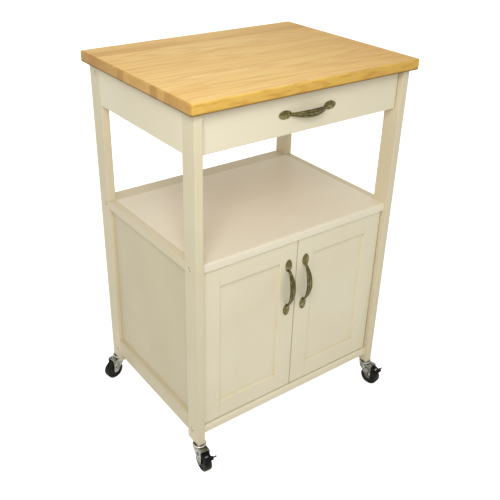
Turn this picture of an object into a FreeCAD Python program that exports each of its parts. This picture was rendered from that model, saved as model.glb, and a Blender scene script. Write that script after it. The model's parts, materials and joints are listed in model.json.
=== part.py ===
import FreeCAD, Part
import math
import os

# Kitchen cart on casters: a stave worktop on four flat posts, a drawer, an open bay and a two-door cupboard.
# Sizes are millimetres, +Z is up, the front faces -Y and +X is the right side seen from the front.
# Each piece is placed about the middle of the worktop, with z from the floor, and moved once at the end.

# Worktop
TOP_WIDTH = 597.0
TOP_DEPTH = 457.0
TOTAL_HEIGHT = 902.0
TOP_THICKNESS = 24.0
TOP_CORNER_RADIUS = 9.0
TOP_UPPER_EASE = 3.0
TOP_LOWER_EASE = 2.0

# Painted frame
SIDE_OVERHANG = 14.5
FRONT_OVERHANG = 13.0
STOCK = 19.0
POST_DEPTH = 44.5
APRON_HEIGHT = 90.0
ARRIS = 1.0
SHELF_THICKNESS = 20.0
SHELF_TOP = 549.0
SHELF_RECESS = 8.5
SHELF_BACK_RECESS = 2.5
NOSE_UPPER_RADIUS = 5.0
NOSE_LOWER_RADIUS = 2.0
FOOT_LENGTH = 23.5
BOTTOM_RAIL_HEIGHT = 44.5
PANEL_THICKNESS = 5.0
PANEL_RECESS = 8.5
GROOVE_DEPTH = 6.0
GROOVE_PLAY = 0.1
SCREW_INSET = 27.0
TOP_SCREW_DROP = 21.5
CLEAT_WIDTH = 11.0
CLEAT_HEIGHT = 19.0
CLEAT_LENGTH = 300.0

# Screws through the posts
SCREW_HEAD_RADIUS = 4.2
SCREW_HEAD_HEIGHT = 2.6
SCREW_RADIUS = 2.2
SCREW_LENGTH = 50.0

# Small fasteners are plain shanks with a few flat sides, and pressed discs have enough to look round
FASTENER_SIDES = 8
DISC_SIDES = 24

# Drawer
DRAWER_GAP = 2.5
DRAWER_TOP_GAP = 2.0
DRAWER_RECESS = 13.0
DRAWER_LENGTH = 350.0
DRAWER_WALL = 12.0
DRAWER_SIDE_GAP = 12.0
DRAWER_BOX_LIFT = 12.0
DRAWER_BOX_HEIGHT = 64.0
DRAWER_BOTTOM_LIFT = 6.0
DRAWER_BOTTOM_THICKNESS = 4.8
RUNNER_HEIGHT = 16.0
RUNNER_GROOVE = 6.0
RUNNER_PLAY = 0.3
RUNNER_FRONT_GAP = 2.0

# Doors
DOOR_GAP = 2.5
DOOR_RECESS = 14.0
STILE_WIDTH = 48.0
RAIL_WIDTH = 47.0
DOOR_PANEL_RECESS = 6.5
DOOR_ARRIS = 0.8
PIVOT_FROM_EDGE = 10.0
PIVOT_FROM_FRONT = 7.0
PIVOT_RADIUS = 2.5
PIVOT_PLAY = 0.06
PIVOT_DEPTH = 11.0
PIVOT_END_GAP = 0.3
CATCH_LENGTH = 24.0
CATCH_DEPTH = 20.0
CATCH_HEIGHT = 15.0
CATCH_FROM_CENTRE = 24.0
CATCH_PLAY = 0.3

# Arched pulls
PULL_LENGTH = 152.0
PULL_REACH = 25.0
PULL_SCREW_SPACING = 101.6
PULL_DROP = 43.0
PAD_LENGTH = 31.0
PAD_WIDTH = 21.0
PAD_HEIGHT = 4.4
PAD_RIM = 2.0
PAD_TOP_SHARE = 0.55
GRIP_SPAN = 98.0
GRIP_WIDTH = 13.0
GRIP_THICKNESS = 8.5
GRIP_FOOT_HEIGHT = 3.4
FLUTES = 6
FLUTE_VALLEY_SHARE = 0.84
GRIP_STATIONS = 13
GRIP_END_SHARE = 0.46
PULL_SCREW_RADIUS = 2.0
PULL_SCREW_BITE = 2.6
PULL_SCREW_HEAD_RADIUS = 4.2
PULL_SCREW_HEAD_HEIGHT = 2.4

# Casters
CASTER_HEIGHT = 65.0
STEM_INSET = 10.5
WHEEL_RADIUS = 25.0
WHEEL_WIDTH = 19.0
WHEEL_HUB_RADIUS = 8.0
WHEEL_SIDE_PLAY = 0.4
CASTER_TRAIL = 21.0
AXLE_RADIUS = 3.0
AXLE_PLAY = 0.06
AXLE_END_RADIUS = 2.6
RIVET_RADIUS = 4.2
RIVET_HEIGHT = 1.8
RACE_RADIUS = 16.5
RACE_CAP_HEIGHT = 4.0
RACE_GAP = 0.6
DISH_RADIUS = 16.0
DISH_HEIGHT = 3.4
KING_PIN_RADIUS = 5.0
KING_PIN_PLAY = 0.08
KING_PIN_END_GAP = 0.3
STEM_RADIUS = 4.0
STEM_LENGTH = 27.0
FORK_SHEET = 2.0
FORK_GAP = 0.9
FORK_EYE_RADIUS = 6.5
FORK_REAR = 9.0
FORK_SHOULDER = 9.0

# Brake lever of the front casters
BRAKE_CLEARANCE = 3.0
BRAKE_BAND = 2.2
BRAKE_SIDE_GAP = 1.2
BRAKE_BOSS_RADIUS = 2.8
BRAKE_PIN_RADIUS = 1.5
BRAKE_PIN_PLAY = 0.06
BRAKE_SWEEP = 54.0
BRAKE_PEDAL_SWEEP = 18.0
BRAKE_PEDAL_REACH = 13.0
BRAKE_PEDAL_THICKNESS = 4.6
BRAKE_TAB_REACH = 23.0
BRAKE_TAB_DEPTH = 4.0
BRAKE_TAB_THICKNESS = 1.2

# How far each caster has turned from trailing straight to the front, in degrees
CASTER_TURNS = {"front_left": -4.0, "front_right": 11.0, "back_left": -79.0, "back_right": 180.0}

# One overrun for every cut that runs past a face
OVERRUN = 2.0

V = FreeCAD.Vector
ORIGIN = V(0, 0, 0)
AXIS_X = V(1, 0, 0)
AXIS_Y = V(0, 1, 0)
AXIS_Z = V(0, 0, 1)
QUARTER_TURN = 90.0
PARALLEL_LIMIT = 0.5

# Places shared by the pieces
FRAME_WIDTH = TOP_WIDTH - 2 * SIDE_OVERHANG
FRAME_DEPTH = TOP_DEPTH - 2 * FRONT_OVERHANG
OUTER_X = FRAME_WIDTH / 2
OUTER_Y = FRAME_DEPTH / 2
INNER_X = OUTER_X - STOCK
INNER_Y = OUTER_Y - POST_DEPTH
POST_X = OUTER_X - STOCK / 2
STEM_Y = OUTER_Y - STEM_INSET
TOP_UNDERSIDE = TOTAL_HEIGHT - TOP_THICKNESS
APRON_BOTTOM = TOP_UNDERSIDE - APRON_HEIGHT
SHELF_BOTTOM = SHELF_TOP - SHELF_THICKNESS
FLOOR_BOTTOM = CASTER_HEIGHT + FOOT_LENGTH
FLOOR_TOP = FLOOR_BOTTOM + SHELF_THICKNESS
BOTTOM_RAIL_TOP = FLOOR_BOTTOM + BOTTOM_RAIL_HEIGHT
SHELF_FRONT = -OUTER_Y + SHELF_RECESS
SCREW_LINE = OUTER_Y - SCREW_INSET
BACK_APRON_FRONT = SCREW_LINE - STOCK / 2
PANEL_X = (OUTER_X - PANEL_RECESS - PANEL_THICKNESS, OUTER_X - PANEL_RECESS)
PANEL_Y = (OUTER_Y - PANEL_RECESS - PANEL_THICKNESS, OUTER_Y - PANEL_RECESS)
DRAWER_FACE = -OUTER_Y + DRAWER_RECESS
DRAWER_HALF = INNER_X - DRAWER_GAP
DRAWER_BACK_FACE = DRAWER_FACE + STOCK
DRAWER_OUTER_X = INNER_X - DRAWER_SIDE_GAP
DRAWER_BOX_BOTTOM = APRON_BOTTOM + DRAWER_BOX_LIFT
DRAWER_BOX_TOP = DRAWER_BOX_BOTTOM + DRAWER_BOX_HEIGHT
DRAWER_FRONT_TOP = TOP_UNDERSIDE - DRAWER_TOP_GAP
RUNNER_MIDDLE = (DRAWER_BOX_BOTTOM + DRAWER_BOX_TOP) / 2
DOOR_FACE = -OUTER_Y + DOOR_RECESS
DOOR_BACK = DOOR_FACE + STOCK
DOOR_INNER_X = DOOR_GAP / 2
DOOR_OUTER_X = INNER_X - DOOR_GAP
DOOR_BOTTOM = FLOOR_TOP + DOOR_GAP
DOOR_TOP = SHELF_BOTTOM - DOOR_GAP
DOOR_PANEL_Y = (DOOR_FACE + DOOR_PANEL_RECESS, DOOR_FACE + DOOR_PANEL_RECESS + PANEL_THICKNESS)
PIVOT_X = DOOR_OUTER_X - PIVOT_FROM_EDGE
PIVOT_Y = DOOR_FACE + PIVOT_FROM_FRONT
DOOR_PULL_X = DOOR_INNER_X + STILE_WIDTH / 2
DOOR_PULL_Z = DOOR_TOP - PULL_DROP - PULL_LENGTH / 2
DRAWER_PULL_Z = (APRON_BOTTOM + DRAWER_FRONT_TOP) / 2
CAP_BOTTOM = CASTER_HEIGHT - RACE_CAP_HEIGHT
DISH_TOP = CAP_BOTTOM - RACE_GAP
DISH_BOTTOM = DISH_TOP - DISH_HEIGHT
FORK_INNER_X = WHEEL_WIDTH / 2 + WHEEL_SIDE_PLAY + FORK_GAP
FORK_OUTER_X = FORK_INNER_X + FORK_SHEET
FORK_FREE_EDGE = -CASTER_TRAIL - FORK_EYE_RADIUS
BRAKE_RADIUS = WHEEL_RADIUS + BRAKE_CLEARANCE
BRAKE_PIVOT_Z = WHEEL_RADIUS + BRAKE_RADIUS + BRAKE_BAND / 2


def block(x, y, z):
    """Plain box between a pair of places on each axis."""
    corner = V(x[0], y[0], z[0])
    return Part.makeBox(x[1] - x[0], y[1] - y[0], z[1] - z[0], corner)


def edges_along(shape, axis):
    """Straight edges of a box that run along an axis."""
    return [edge for edge in shape.Edges if strays_from(edge, axis) < PARALLEL_LIMIT]


def strays_from(edge, axis):
    """Sine of the angle between the start of an edge and an axis."""
    return edge.tangentAt(edge.FirstParameter).cross(axis).Length


def edges_at(shape, axis, side):
    """Edges of a box along an axis on the sides named by the signs of a vector from its middle."""
    middle = shape.BoundBox.Center
    return [edge for edge in edges_along(shape, axis) if on_side(edge.CenterOfMass - middle, side)]


def on_side(offset, side):
    """True where an offset has the sign of every part of side that isn't zero."""
    return all(a * b > 0 for a, b in zip(offset, side) if b)


def board(x, y, z, grain, ease=ARRIS):
    """Board between pairs of places, with its four edges along the grain eased."""
    solid = block(x, y, z)
    return solid.makeChamfer(ease, edges_along(solid, grain))


def nosed_board(x, y, z):
    """Shelf board with a rounded front nose."""
    solid = block(x, y, z)
    solid = solid.makeFillet(NOSE_UPPER_RADIUS, edges_at(solid, AXIS_X, (0, -1, 1)))
    return solid.makeFillet(NOSE_LOWER_RADIUS, edges_at(solid, AXIS_X, (0, -1, -1)))


def mirrored(shape):
    """The same piece on the other side of the cart."""
    return shape.mirror(ORIGIN, AXIS_X)


def group(shapes):
    """Separate solids that share a node."""
    return Part.makeCompound(shapes)


def both_sides(shape):
    """A piece and its mirror image as one group."""
    return group([shape, mirrored(shape)])


def rod(radius, start, run, sides=FASTENER_SIDES):
    """Shank or disc with flat sides, from a start along a run that lies on an axis."""
    across = V(run.y, run.z, run.x).normalize()
    upward = run.cross(across).normalize()
    turns = [2 * math.pi * side / sides for side in range(sides + 1)]
    ring = [start + across * (radius * math.cos(turn)) + upward * (radius * math.sin(turn)) for turn in turns]
    return Part.Face(Part.makePolygon(ring)).extrude(run)


def worktop():
    """Stave board with rounded corners and eased edges all round."""
    half_x = TOP_WIDTH / 2
    half_y = TOP_DEPTH / 2
    solid = block((-half_x, half_x), (-half_y, half_y), (TOP_UNDERSIDE, TOTAL_HEIGHT))
    solid = solid.makeFillet(TOP_CORNER_RADIUS, edges_along(solid, AXIS_Z))
    upper = [edge for edge in solid.Edges if edge.BoundBox.ZMin > TOTAL_HEIGHT - TOP_UPPER_EASE]
    solid = solid.makeChamfer(TOP_UPPER_EASE, upper)
    lower = [edge for edge in solid.Edges if edge.BoundBox.ZMax < TOP_UNDERSIDE + TOP_LOWER_EASE]
    return solid.makeChamfer(TOP_LOWER_EASE, lower)


def frame_screw(y, z):
    """Flush headed screw driven in from the right side."""
    head = rod(SCREW_HEAD_RADIUS, V(OUTER_X, y, z), -AXIS_X * SCREW_HEAD_HEIGHT)
    return head.fuse(rod(SCREW_RADIUS, V(OUTER_X, y, z), -AXIS_X * SCREW_LENGTH)).removeSplitter()


def frame_screws():
    """Every screw through the posts: into the boards, and into the back apron near its top."""
    shelf_z = (SHELF_BOTTOM + SHELF_TOP) / 2
    floor_z = (FLOOR_BOTTOM + FLOOR_TOP) / 2
    apron_z = TOP_UNDERSIDE - TOP_SCREW_DROP
    places = [(-SCREW_LINE, shelf_z), (-SCREW_LINE, floor_z)]
    places += [(SCREW_LINE, shelf_z), (SCREW_LINE, floor_z), (SCREW_LINE, apron_z)]
    right = [frame_screw(y, z) for y, z in places]
    return group(right + [mirrored(screw) for screw in right])


def right_post(side, screws):
    """Right post at the front (side -1) or back (side 1), grooved for the panels and bored for its caster."""
    y = sorted((side * INNER_Y, side * OUTER_Y))
    solid = board((INNER_X, OUTER_X), y, (CASTER_HEIGHT, TOP_UNDERSIDE), AXIS_Z)
    groove_x = (PANEL_X[0] - GROOVE_PLAY, PANEL_X[1] + GROOVE_PLAY)
    groove_y = sorted((side * (INNER_Y - OVERRUN), side * (INNER_Y + GROOVE_DEPTH)))
    solid = solid.cut(block(groove_x, groove_y, (BOTTOM_RAIL_TOP, SHELF_BOTTOM)))
    if side > 0:
        back_x = (INNER_X - OVERRUN, INNER_X + GROOVE_DEPTH)
        back_y = (PANEL_Y[0] - GROOVE_PLAY, PANEL_Y[1] + GROOVE_PLAY)
        solid = solid.cut(block(back_x, back_y, (BOTTOM_RAIL_TOP, SHELF_BOTTOM)))
    return solid.cut([stem_shank(POST_X, side * STEM_Y), screws])


def stem_shank(x, y):
    """The part of a caster's stem that is driven into the end of a post."""
    return rod(STEM_RADIUS, V(x, y, CASTER_HEIGHT), AXIS_Z * STEM_LENGTH)


def worktop_cleats():
    """Strips in the top corners that the worktop is screwed to from below."""
    z = (TOP_UNDERSIDE - CLEAT_HEIGHT, TOP_UNDERSIDE)
    half = CLEAT_LENGTH / 2
    side = board((INNER_X - CLEAT_WIDTH, INNER_X), (-half, half), z, AXIS_Y)
    back = board((-half, half), (BACK_APRON_FRONT - CLEAT_WIDTH, BACK_APRON_FRONT), z, AXIS_X)
    return group([side, mirrored(side), back])


def drawer_runners():
    """Strips along the side aprons that the drawer sides slide on."""
    x = (DRAWER_OUTER_X - RUNNER_GROOVE + RUNNER_PLAY, INNER_X)
    y = (DRAWER_BACK_FACE + RUNNER_FRONT_GAP, BACK_APRON_FRONT)
    z = (RUNNER_MIDDLE - RUNNER_HEIGHT / 2, RUNNER_MIDDLE + RUNNER_HEIGHT / 2)
    return both_sides(block(x, y, z))


def shelf_side_rails():
    """Rails in line with the posts, with their outer upper edge rounded."""
    solid = block((INNER_X, OUTER_X), (-INNER_Y, INNER_Y), (SHELF_BOTTOM, SHELF_TOP))
    return both_sides(solid.makeFillet(NOSE_UPPER_RADIUS, edges_at(solid, AXIS_Y, (1, 0, 1))))


def shelf_back_rail(screws):
    """Flat rail between the back posts, level with the shelf."""
    y = (INNER_Y, OUTER_Y - SHELF_BACK_RECESS)
    solid = block((-INNER_X, INNER_X), y, (SHELF_BOTTOM, SHELF_TOP))
    return solid.makeFillet(NOSE_LOWER_RADIUS, edges_at(solid, AXIS_X, (0, 1, 1))).cut(screws)


def side_panel():
    """Thin panel of the cupboard's right side, held in the grooves of its posts."""
    reach = INNER_Y + GROOVE_DEPTH - GROOVE_PLAY
    return block(PANEL_X, (-reach, reach), (BOTTOM_RAIL_TOP, SHELF_BOTTOM))


def back_panel():
    """Thin panel of the cupboard's back, held in the grooves of the back posts."""
    reach = INNER_X + GROOVE_DEPTH - GROOVE_PLAY
    return block((-reach, reach), PANEL_Y, (BOTTOM_RAIL_TOP, SHELF_BOTTOM))


def pivot_socket(z, upwards):
    """Cutter for the hole that a door's pivot pin turns in."""
    start = z - OVERRUN if upwards else z + OVERRUN
    direction = AXIS_Z if upwards else -AXIS_Z
    mouth = V(PIVOT_X, PIVOT_Y, start)
    return both_sides(Part.makeCylinder(PIVOT_RADIUS + PIVOT_PLAY, PIVOT_DEPTH + OVERRUN, mouth, direction))


def door_catches():
    """Two catch blocks under the shelf, just behind the meeting stiles."""
    x = (CATCH_FROM_CENTRE - CATCH_LENGTH / 2, CATCH_FROM_CENTRE + CATCH_LENGTH / 2)
    y = (DOOR_BACK + CATCH_PLAY, DOOR_BACK + CATCH_PLAY + CATCH_DEPTH)
    return both_sides(board(x, y, (SHELF_BOTTOM - CATCH_HEIGHT, SHELF_BOTTOM), AXIS_X))


def frame_pieces():
    """Every fixed wooden piece and its screws."""
    screws = frame_screws()
    front_post = right_post(-1, screws)
    back_post = right_post(1, screws)
    side_apron = board((INNER_X, OUTER_X), (-INNER_Y, INNER_Y), (APRON_BOTTOM, TOP_UNDERSIDE), AXIS_Y)
    back_y = (BACK_APRON_FRONT, BACK_APRON_FRONT + STOCK)
    back_apron = board((-INNER_X, INNER_X), back_y, (APRON_BOTTOM, TOP_UNDERSIDE), AXIS_X).cut(screws)
    shelf = nosed_board((-INNER_X, INNER_X), (SHELF_FRONT, INNER_Y), (SHELF_BOTTOM, SHELF_TOP))
    bottom_z = (FLOOR_BOTTOM, BOTTOM_RAIL_TOP)
    bottom_rail = board((INNER_X, OUTER_X), (-INNER_Y, INNER_Y), bottom_z, AXIS_Y)
    floor_back = OUTER_Y - STOCK
    floor_board = nosed_board((-INNER_X, INNER_X), (SHELF_FRONT, floor_back), (FLOOR_BOTTOM, FLOOR_TOP))
    return {
        "worktop": worktop(),
        "post_front_left": mirrored(front_post),
        "post_front_right": front_post,
        "post_back_left": mirrored(back_post),
        "post_back_right": back_post,
        "side_apron_left": mirrored(side_apron),
        "side_apron_right": side_apron,
        "back_apron": back_apron,
        "worktop_cleats": worktop_cleats(),
        "drawer_runners": drawer_runners(),
        "shelf_panel": shelf.cut([screws, pivot_socket(SHELF_BOTTOM, True)]),
        "shelf_side_rails": shelf_side_rails(),
        "shelf_back_rail": shelf_back_rail(screws),
        "side_panel_left": mirrored(side_panel()),
        "side_panel_right": side_panel(),
        "back_panel": back_panel(),
        "floor_board": floor_board.cut([screws, pivot_socket(FLOOR_TOP, False)]),
        "bottom_rail_left": mirrored(bottom_rail),
        "bottom_rail_right": bottom_rail,
        "bottom_rail_back": board((-INNER_X, INNER_X), (floor_back, OUTER_Y), bottom_z, AXIS_X),
        "frame_screws": screws,
        "door_catches": door_catches(),
    }


def turned_ring(count, point):
    """Points given by a function of the turn, evenly spread over one full turn."""
    return [point(2 * math.pi * step / count, step) for step in range(count)]


def skinned(rings):
    """Solid with flat facets between rings of points, closed by a flat face at each end."""
    faces = [Part.Face(Part.makePolygon(ring + ring[:1])) for ring in (rings[0], rings[-1])]
    for near, far in zip(rings, rings[1:]):
        for a, b, c, d in zip(near, near[1:] + near[:1], far, far[1:] + far[:1]):
            faces.append(Part.Face(Part.makePolygon([a, b, c, a])))
            faces.append(Part.Face(Part.makePolygon([b, d, c, b])))
    return Part.makeSolid(Part.Shell(faces)).removeSplitter()


def fluted_ring(centre, outward, girth):
    """Ring of sharp flutes about a centre, in the plane of outward and Z."""

    def point(turn, step):
        share = FLUTE_VALLEY_SHARE if step % 2 else 1
        out = GRIP_THICKNESS / 2 * girth * share * math.cos(turn)
        return centre + outward * out + AXIS_Z * (GRIP_WIDTH / 2 * girth * share * math.sin(turn))

    return turned_ring(2 * FLUTES, point)


def pull_grip():
    """Fluted grip along an arc, thickest in its middle."""
    half_span = GRIP_SPAN / 2
    rise = PULL_REACH - GRIP_THICKNESS / 2 - GRIP_FOOT_HEIGHT
    radius = (half_span**2 + rise**2) / (2 * rise)
    half_angle = math.asin(half_span / radius)
    centre = V(0, radius - rise - GRIP_FOOT_HEIGHT, 0)
    rings = []
    for index in range(GRIP_STATIONS):
        station = 2 * index / (GRIP_STATIONS - 1) - 1
        girth = GRIP_END_SHARE + (1 - GRIP_END_SHARE) * math.cos(math.pi / 2 * station)
        outward = V(math.sin(station * half_angle), -math.cos(station * half_angle), 0)
        rings.append(fluted_ring(centre + outward * radius, outward, girth))
    return skinned(rings)


def oval(height, spread):
    """Ring round the pad at a height above the wood."""

    def point(turn, step):
        return V(PAD_LENGTH / 2 * spread * math.cos(turn), -height, PAD_WIDTH / 2 * spread * math.sin(turn))

    return turned_ring(DISC_SIDES, point)


def pull_pad():
    """Oval pad, flat on the wood, with a straight rim and a sloping shoulder."""
    return skinned([oval(0, 1), oval(PAD_RIM, 1), oval(PAD_HEIGHT, PAD_TOP_SHARE)])


def pull():
    """Arched pull along X that stands out to -Y from the plane y = 0, still without its screw holes."""
    pads = []
    for side in (-1, 1):
        pad = pull_pad()
        pad.translate(V(side * (PULL_LENGTH - PAD_LENGTH) / 2, 0, 0))
        pads.append(pad)
    return pull_grip().fuse(pads)


def pull_screws():
    """The two screws that hold a pull, driven from behind the wood."""
    screws = []
    for side in (-1, 1):
        back = V(side * PULL_SCREW_SPACING / 2, STOCK, 0)
        shank = rod(PULL_SCREW_RADIUS, back, -AXIS_Y * (STOCK + PULL_SCREW_BITE))
        head = rod(PULL_SCREW_HEAD_RADIUS, back, AXIS_Y * PULL_SCREW_HEAD_HEIGHT)
        screws.append(head.fuse(shank).removeSplitter())
    return group(screws)


def placed_pull(x, y, z, upright):
    """A pull and its screws at a place on the cart, along X or upright."""
    screws = pull_screws()
    body = pull().cut(screws)
    for shape in (body, screws):
        if upright:
            shape.rotate(ORIGIN, AXIS_Y, QUARTER_TURN)
        shape.translate(V(x, y, z))
    return body, screws


def drawer_pieces():
    """The drawer: an inset front with a grooved box behind it."""
    handle, screws = placed_pull(0, DRAWER_FACE, DRAWER_PULL_Z, False)
    inner_x = DRAWER_OUTER_X - DRAWER_WALL
    box_end = DRAWER_BACK_FACE + DRAWER_LENGTH
    back_front = box_end - DRAWER_WALL
    box_z = (DRAWER_BOX_BOTTOM, DRAWER_BOX_TOP)
    bottom_low = DRAWER_BOX_BOTTOM + DRAWER_BOTTOM_LIFT
    bottom_z = (bottom_low, bottom_low + DRAWER_BOTTOM_THICKNESS)
    groove_z = (bottom_z[0] - GROOVE_PLAY, bottom_z[1] + GROOVE_PLAY)
    groove_x = inner_x + GROOVE_DEPTH
    groove_y = (DRAWER_BACK_FACE - GROOVE_DEPTH, back_front + GROOVE_DEPTH)
    groove = block((-groove_x, groove_x), groove_y, groove_z)
    bottom_x = groove_x - GROOVE_PLAY
    bottom_y = (groove_y[0] + GROOVE_PLAY, groove_y[1] - GROOVE_PLAY)
    slot_half = RUNNER_HEIGHT / 2 + RUNNER_PLAY
    slot_x = (DRAWER_OUTER_X - RUNNER_GROOVE, DRAWER_OUTER_X + OVERRUN)
    slot_z = (RUNNER_MIDDLE - slot_half, RUNNER_MIDDLE + slot_half)
    slot = block(slot_x, (DRAWER_BACK_FACE, box_end + OVERRUN), slot_z)
    front_y = (DRAWER_FACE, DRAWER_BACK_FACE)
    front = board((-DRAWER_HALF, DRAWER_HALF), front_y, (APRON_BOTTOM, DRAWER_FRONT_TOP), AXIS_X)
    side = board((inner_x, DRAWER_OUTER_X), (DRAWER_BACK_FACE, box_end), box_z, AXIS_Y, DOOR_ARRIS)
    back = board((-inner_x, inner_x), (back_front, box_end), box_z, AXIS_X, DOOR_ARRIS)
    return {
        "drawer_front": front.cut([groove, screws]),
        "drawer_sides": both_sides(side.cut([slot, groove])),
        "drawer_back": back.cut(groove),
        "drawer_bottom": block((-bottom_x, bottom_x), bottom_y, bottom_z),
        "drawer_pull": handle,
        "drawer_pull_screws": screws,
    }


def pivot_pins():
    """Pins at the right door's foot and head: flat sided in the stile that holds them, round beyond it."""
    pins = []
    for z, outward in ((DOOR_BOTTOM, -AXIS_Z), (DOOR_TOP, AXIS_Z)):
        end = V(PIVOT_X, PIVOT_Y, z)
        journal = Part.makeCylinder(PIVOT_RADIUS, DOOR_GAP + PIVOT_DEPTH - PIVOT_END_GAP, end, outward)
        pins.append(journal.fuse(rod(PIVOT_RADIUS, end, -outward * PIVOT_DEPTH)))
    return group(pins)


def right_door():
    """The right door's pieces under their plain names."""
    pins = pivot_pins()
    handle, screws = placed_pull(DOOR_PULL_X, DOOR_FACE, DOOR_PULL_Z, True)
    y = (DOOR_FACE, DOOR_BACK)
    z = (DOOR_BOTTOM, DOOR_TOP)
    opening_x = (DOOR_INNER_X + STILE_WIDTH, DOOR_OUTER_X - STILE_WIDTH)
    opening_z = (DOOR_BOTTOM + RAIL_WIDTH, DOOR_TOP - RAIL_WIDTH)
    groove_y = (DOOR_PANEL_Y[0] - GROOVE_PLAY, DOOR_PANEL_Y[1] + GROOVE_PLAY)
    groove_x = (opening_x[0] - GROOVE_DEPTH, opening_x[1] + GROOVE_DEPTH)
    groove_z = (opening_z[0] - GROOVE_DEPTH, opening_z[1] + GROOVE_DEPTH)
    stile_groove = block(groove_x, groove_y, (DOOR_BOTTOM - OVERRUN, DOOR_TOP + OVERRUN))
    stiles = [board((DOOR_INNER_X, opening_x[0]), y, z, AXIS_Z, DOOR_ARRIS)]
    stiles.append(board((opening_x[1], DOOR_OUTER_X), y, z, AXIS_Z, DOOR_ARRIS))
    tenon_x = (groove_x[0] + GROOVE_PLAY, groove_x[1] - GROOVE_PLAY)
    panel_groove = block((opening_x[0] - OVERRUN, opening_x[1] + OVERRUN), groove_y, groove_z)
    rails = []
    for rail_z in ((DOOR_BOTTOM, opening_z[0]), (opening_z[1], DOOR_TOP)):
        rail = board(opening_x, y, rail_z, AXIS_X, DOOR_ARRIS).cut(panel_groove)
        tenon = block(tenon_x, DOOR_PANEL_Y, rail_z).cut(block(groove_x, groove_y, groove_z))
        rails.append(rail.fuse(tenon).removeSplitter())
    panel_z = (groove_z[0] + GROOVE_PLAY, groove_z[1] - GROOVE_PLAY)
    return {
        "stiles": group([stile.cut([stile_groove, pins, screws]) for stile in stiles]),
        "rails": group(rails),
        "panel": block(tenon_x, DOOR_PANEL_Y, panel_z),
        "pull": handle,
        "pull_screws": screws,
        "pivot_pins": pins,
    }


def door_pieces():
    """Both doors: the left one mirrors the right one."""
    pieces = {}
    for name, shape in right_door().items():
        pieces["door_left_" + name] = mirrored(shape)
        pieces["door_right_" + name] = shape
    return pieces


def caster_stem():
    """Stem, upper race and king pin in one piece."""
    race = rod(RACE_RADIUS, V(0, 0, CAP_BOTTOM), AXIS_Z * RACE_CAP_HEIGHT, DISC_SIDES)
    pin_start = V(0, 0, DISH_BOTTOM + KING_PIN_END_GAP)
    pin = Part.makeCylinder(KING_PIN_RADIUS, CAP_BOTTOM - pin_start.z, pin_start)
    return race.fuse([pin, stem_shank(0, 0)])


def tangent_point(outside, centre, radius, side):
    """Where a line from a point touches a circle, both as (y, z) pairs."""
    away = (outside[0] - centre[0], outside[1] - centre[1])
    distance = math.hypot(away[0], away[1])
    turn = math.atan2(away[1], away[0]) + side * math.acos(radius / distance)
    return (centre[0] + radius * math.cos(turn), centre[1] + radius * math.sin(turn))


def fork_leg():
    """Right leg of the fork: a plate that tapers to a round eye at the axle, upright along its free edge."""
    eye = (-CASTER_TRAIL, WHEEL_RADIUS)
    shoulder = (FORK_REAR, DISH_TOP - FORK_SHOULDER)
    touch = tangent_point(shoulder, eye, FORK_EYE_RADIUS, -1)
    low = (eye[0], eye[1] - FORK_EYE_RADIUS)
    side = (FORK_FREE_EDGE, eye[1])

    def place(point):
        return V(FORK_INNER_X, point[0], point[1])

    run = [side, (FORK_FREE_EDGE, DISH_TOP), (FORK_REAR, DISH_TOP), shoulder, touch]
    edges = [Part.makeLine(place(a), place(b)) for a, b in zip(run, run[1:])]
    edges.append(Part.Arc(place(touch), place(low), place(side)).toShape())
    return Part.Face(Part.Wire(edges)).extrude(V(FORK_SHEET, 0, 0))


def caster_fork(braked):
    """Lower race, the hood over the wheel and two legs, with the brake's pivot pin on a braked caster."""
    foot = V(0, 0, DISH_BOTTOM)
    dish = rod(DISH_RADIUS, foot, AXIS_Z * DISH_HEIGHT, DISC_SIDES)
    bore = Part.makeCylinder(KING_PIN_RADIUS + KING_PIN_PLAY, DISH_HEIGHT, foot)
    hood_x = (-FORK_OUTER_X, FORK_OUTER_X)
    hood = block(hood_x, (FORK_FREE_EDGE, 0), (DISH_TOP - FORK_SHEET, DISH_TOP))
    leg = fork_leg()
    pieces = [hood, leg, mirrored(leg)]
    if braked:
        pin_start = V(-FORK_INNER_X, -CASTER_TRAIL, BRAKE_PIVOT_Z)
        pieces.append(rod(BRAKE_PIN_RADIUS, pin_start, AXIS_X * (2 * FORK_INNER_X)))
    return dish.fuse(pieces).cut([bore, caster_axle()]).removeSplitter()


def caster_axle():
    """Axle with a round journal for the wheel, narrower ends in the legs and a head outside each leg."""
    middle = V(0, -CASTER_TRAIL, WHEEL_RADIUS)
    journal = Part.makeCylinder(AXLE_RADIUS, 2 * FORK_INNER_X, middle - AXIS_X * FORK_INNER_X, AXIS_X)
    ends = rod(AXLE_END_RADIUS, middle - AXIS_X * FORK_OUTER_X, AXIS_X * (2 * FORK_OUTER_X))
    heads = []
    for outward in (-AXIS_X, AXIS_X):
        heads.append(rod(RIVET_RADIUS, middle + outward * FORK_OUTER_X, outward * RIVET_HEIGHT))
    return journal.fuse([ends] + heads).removeSplitter()


def caster_wheel():
    """Wheel with a hub that stands proud of its sides and runs on the axle."""
    middle = V(0, -CASTER_TRAIL, WHEEL_RADIUS)
    hub_width = WHEEL_WIDTH + 2 * WHEEL_SIDE_PLAY
    tread = Part.makeCylinder(WHEEL_RADIUS, WHEEL_WIDTH, middle - AXIS_X * (WHEEL_WIDTH / 2), AXIS_X)
    hub_start = middle - AXIS_X * (hub_width / 2)
    hub = rod(WHEEL_HUB_RADIUS, hub_start, AXIS_X * hub_width, DISC_SIDES)
    return tread.fuse(hub).cut(Part.makeCylinder(AXLE_RADIUS + AXLE_PLAY, hub_width, hub_start, AXIS_X))


def round_wheel(x, radius, turn):
    """Place at a turn from the top of the wheel towards its free side, in degrees."""
    angle = math.radians(turn)
    return V(x, -CASTER_TRAIL - radius * math.sin(angle), WHEEL_RADIUS + radius * math.cos(angle))


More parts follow.
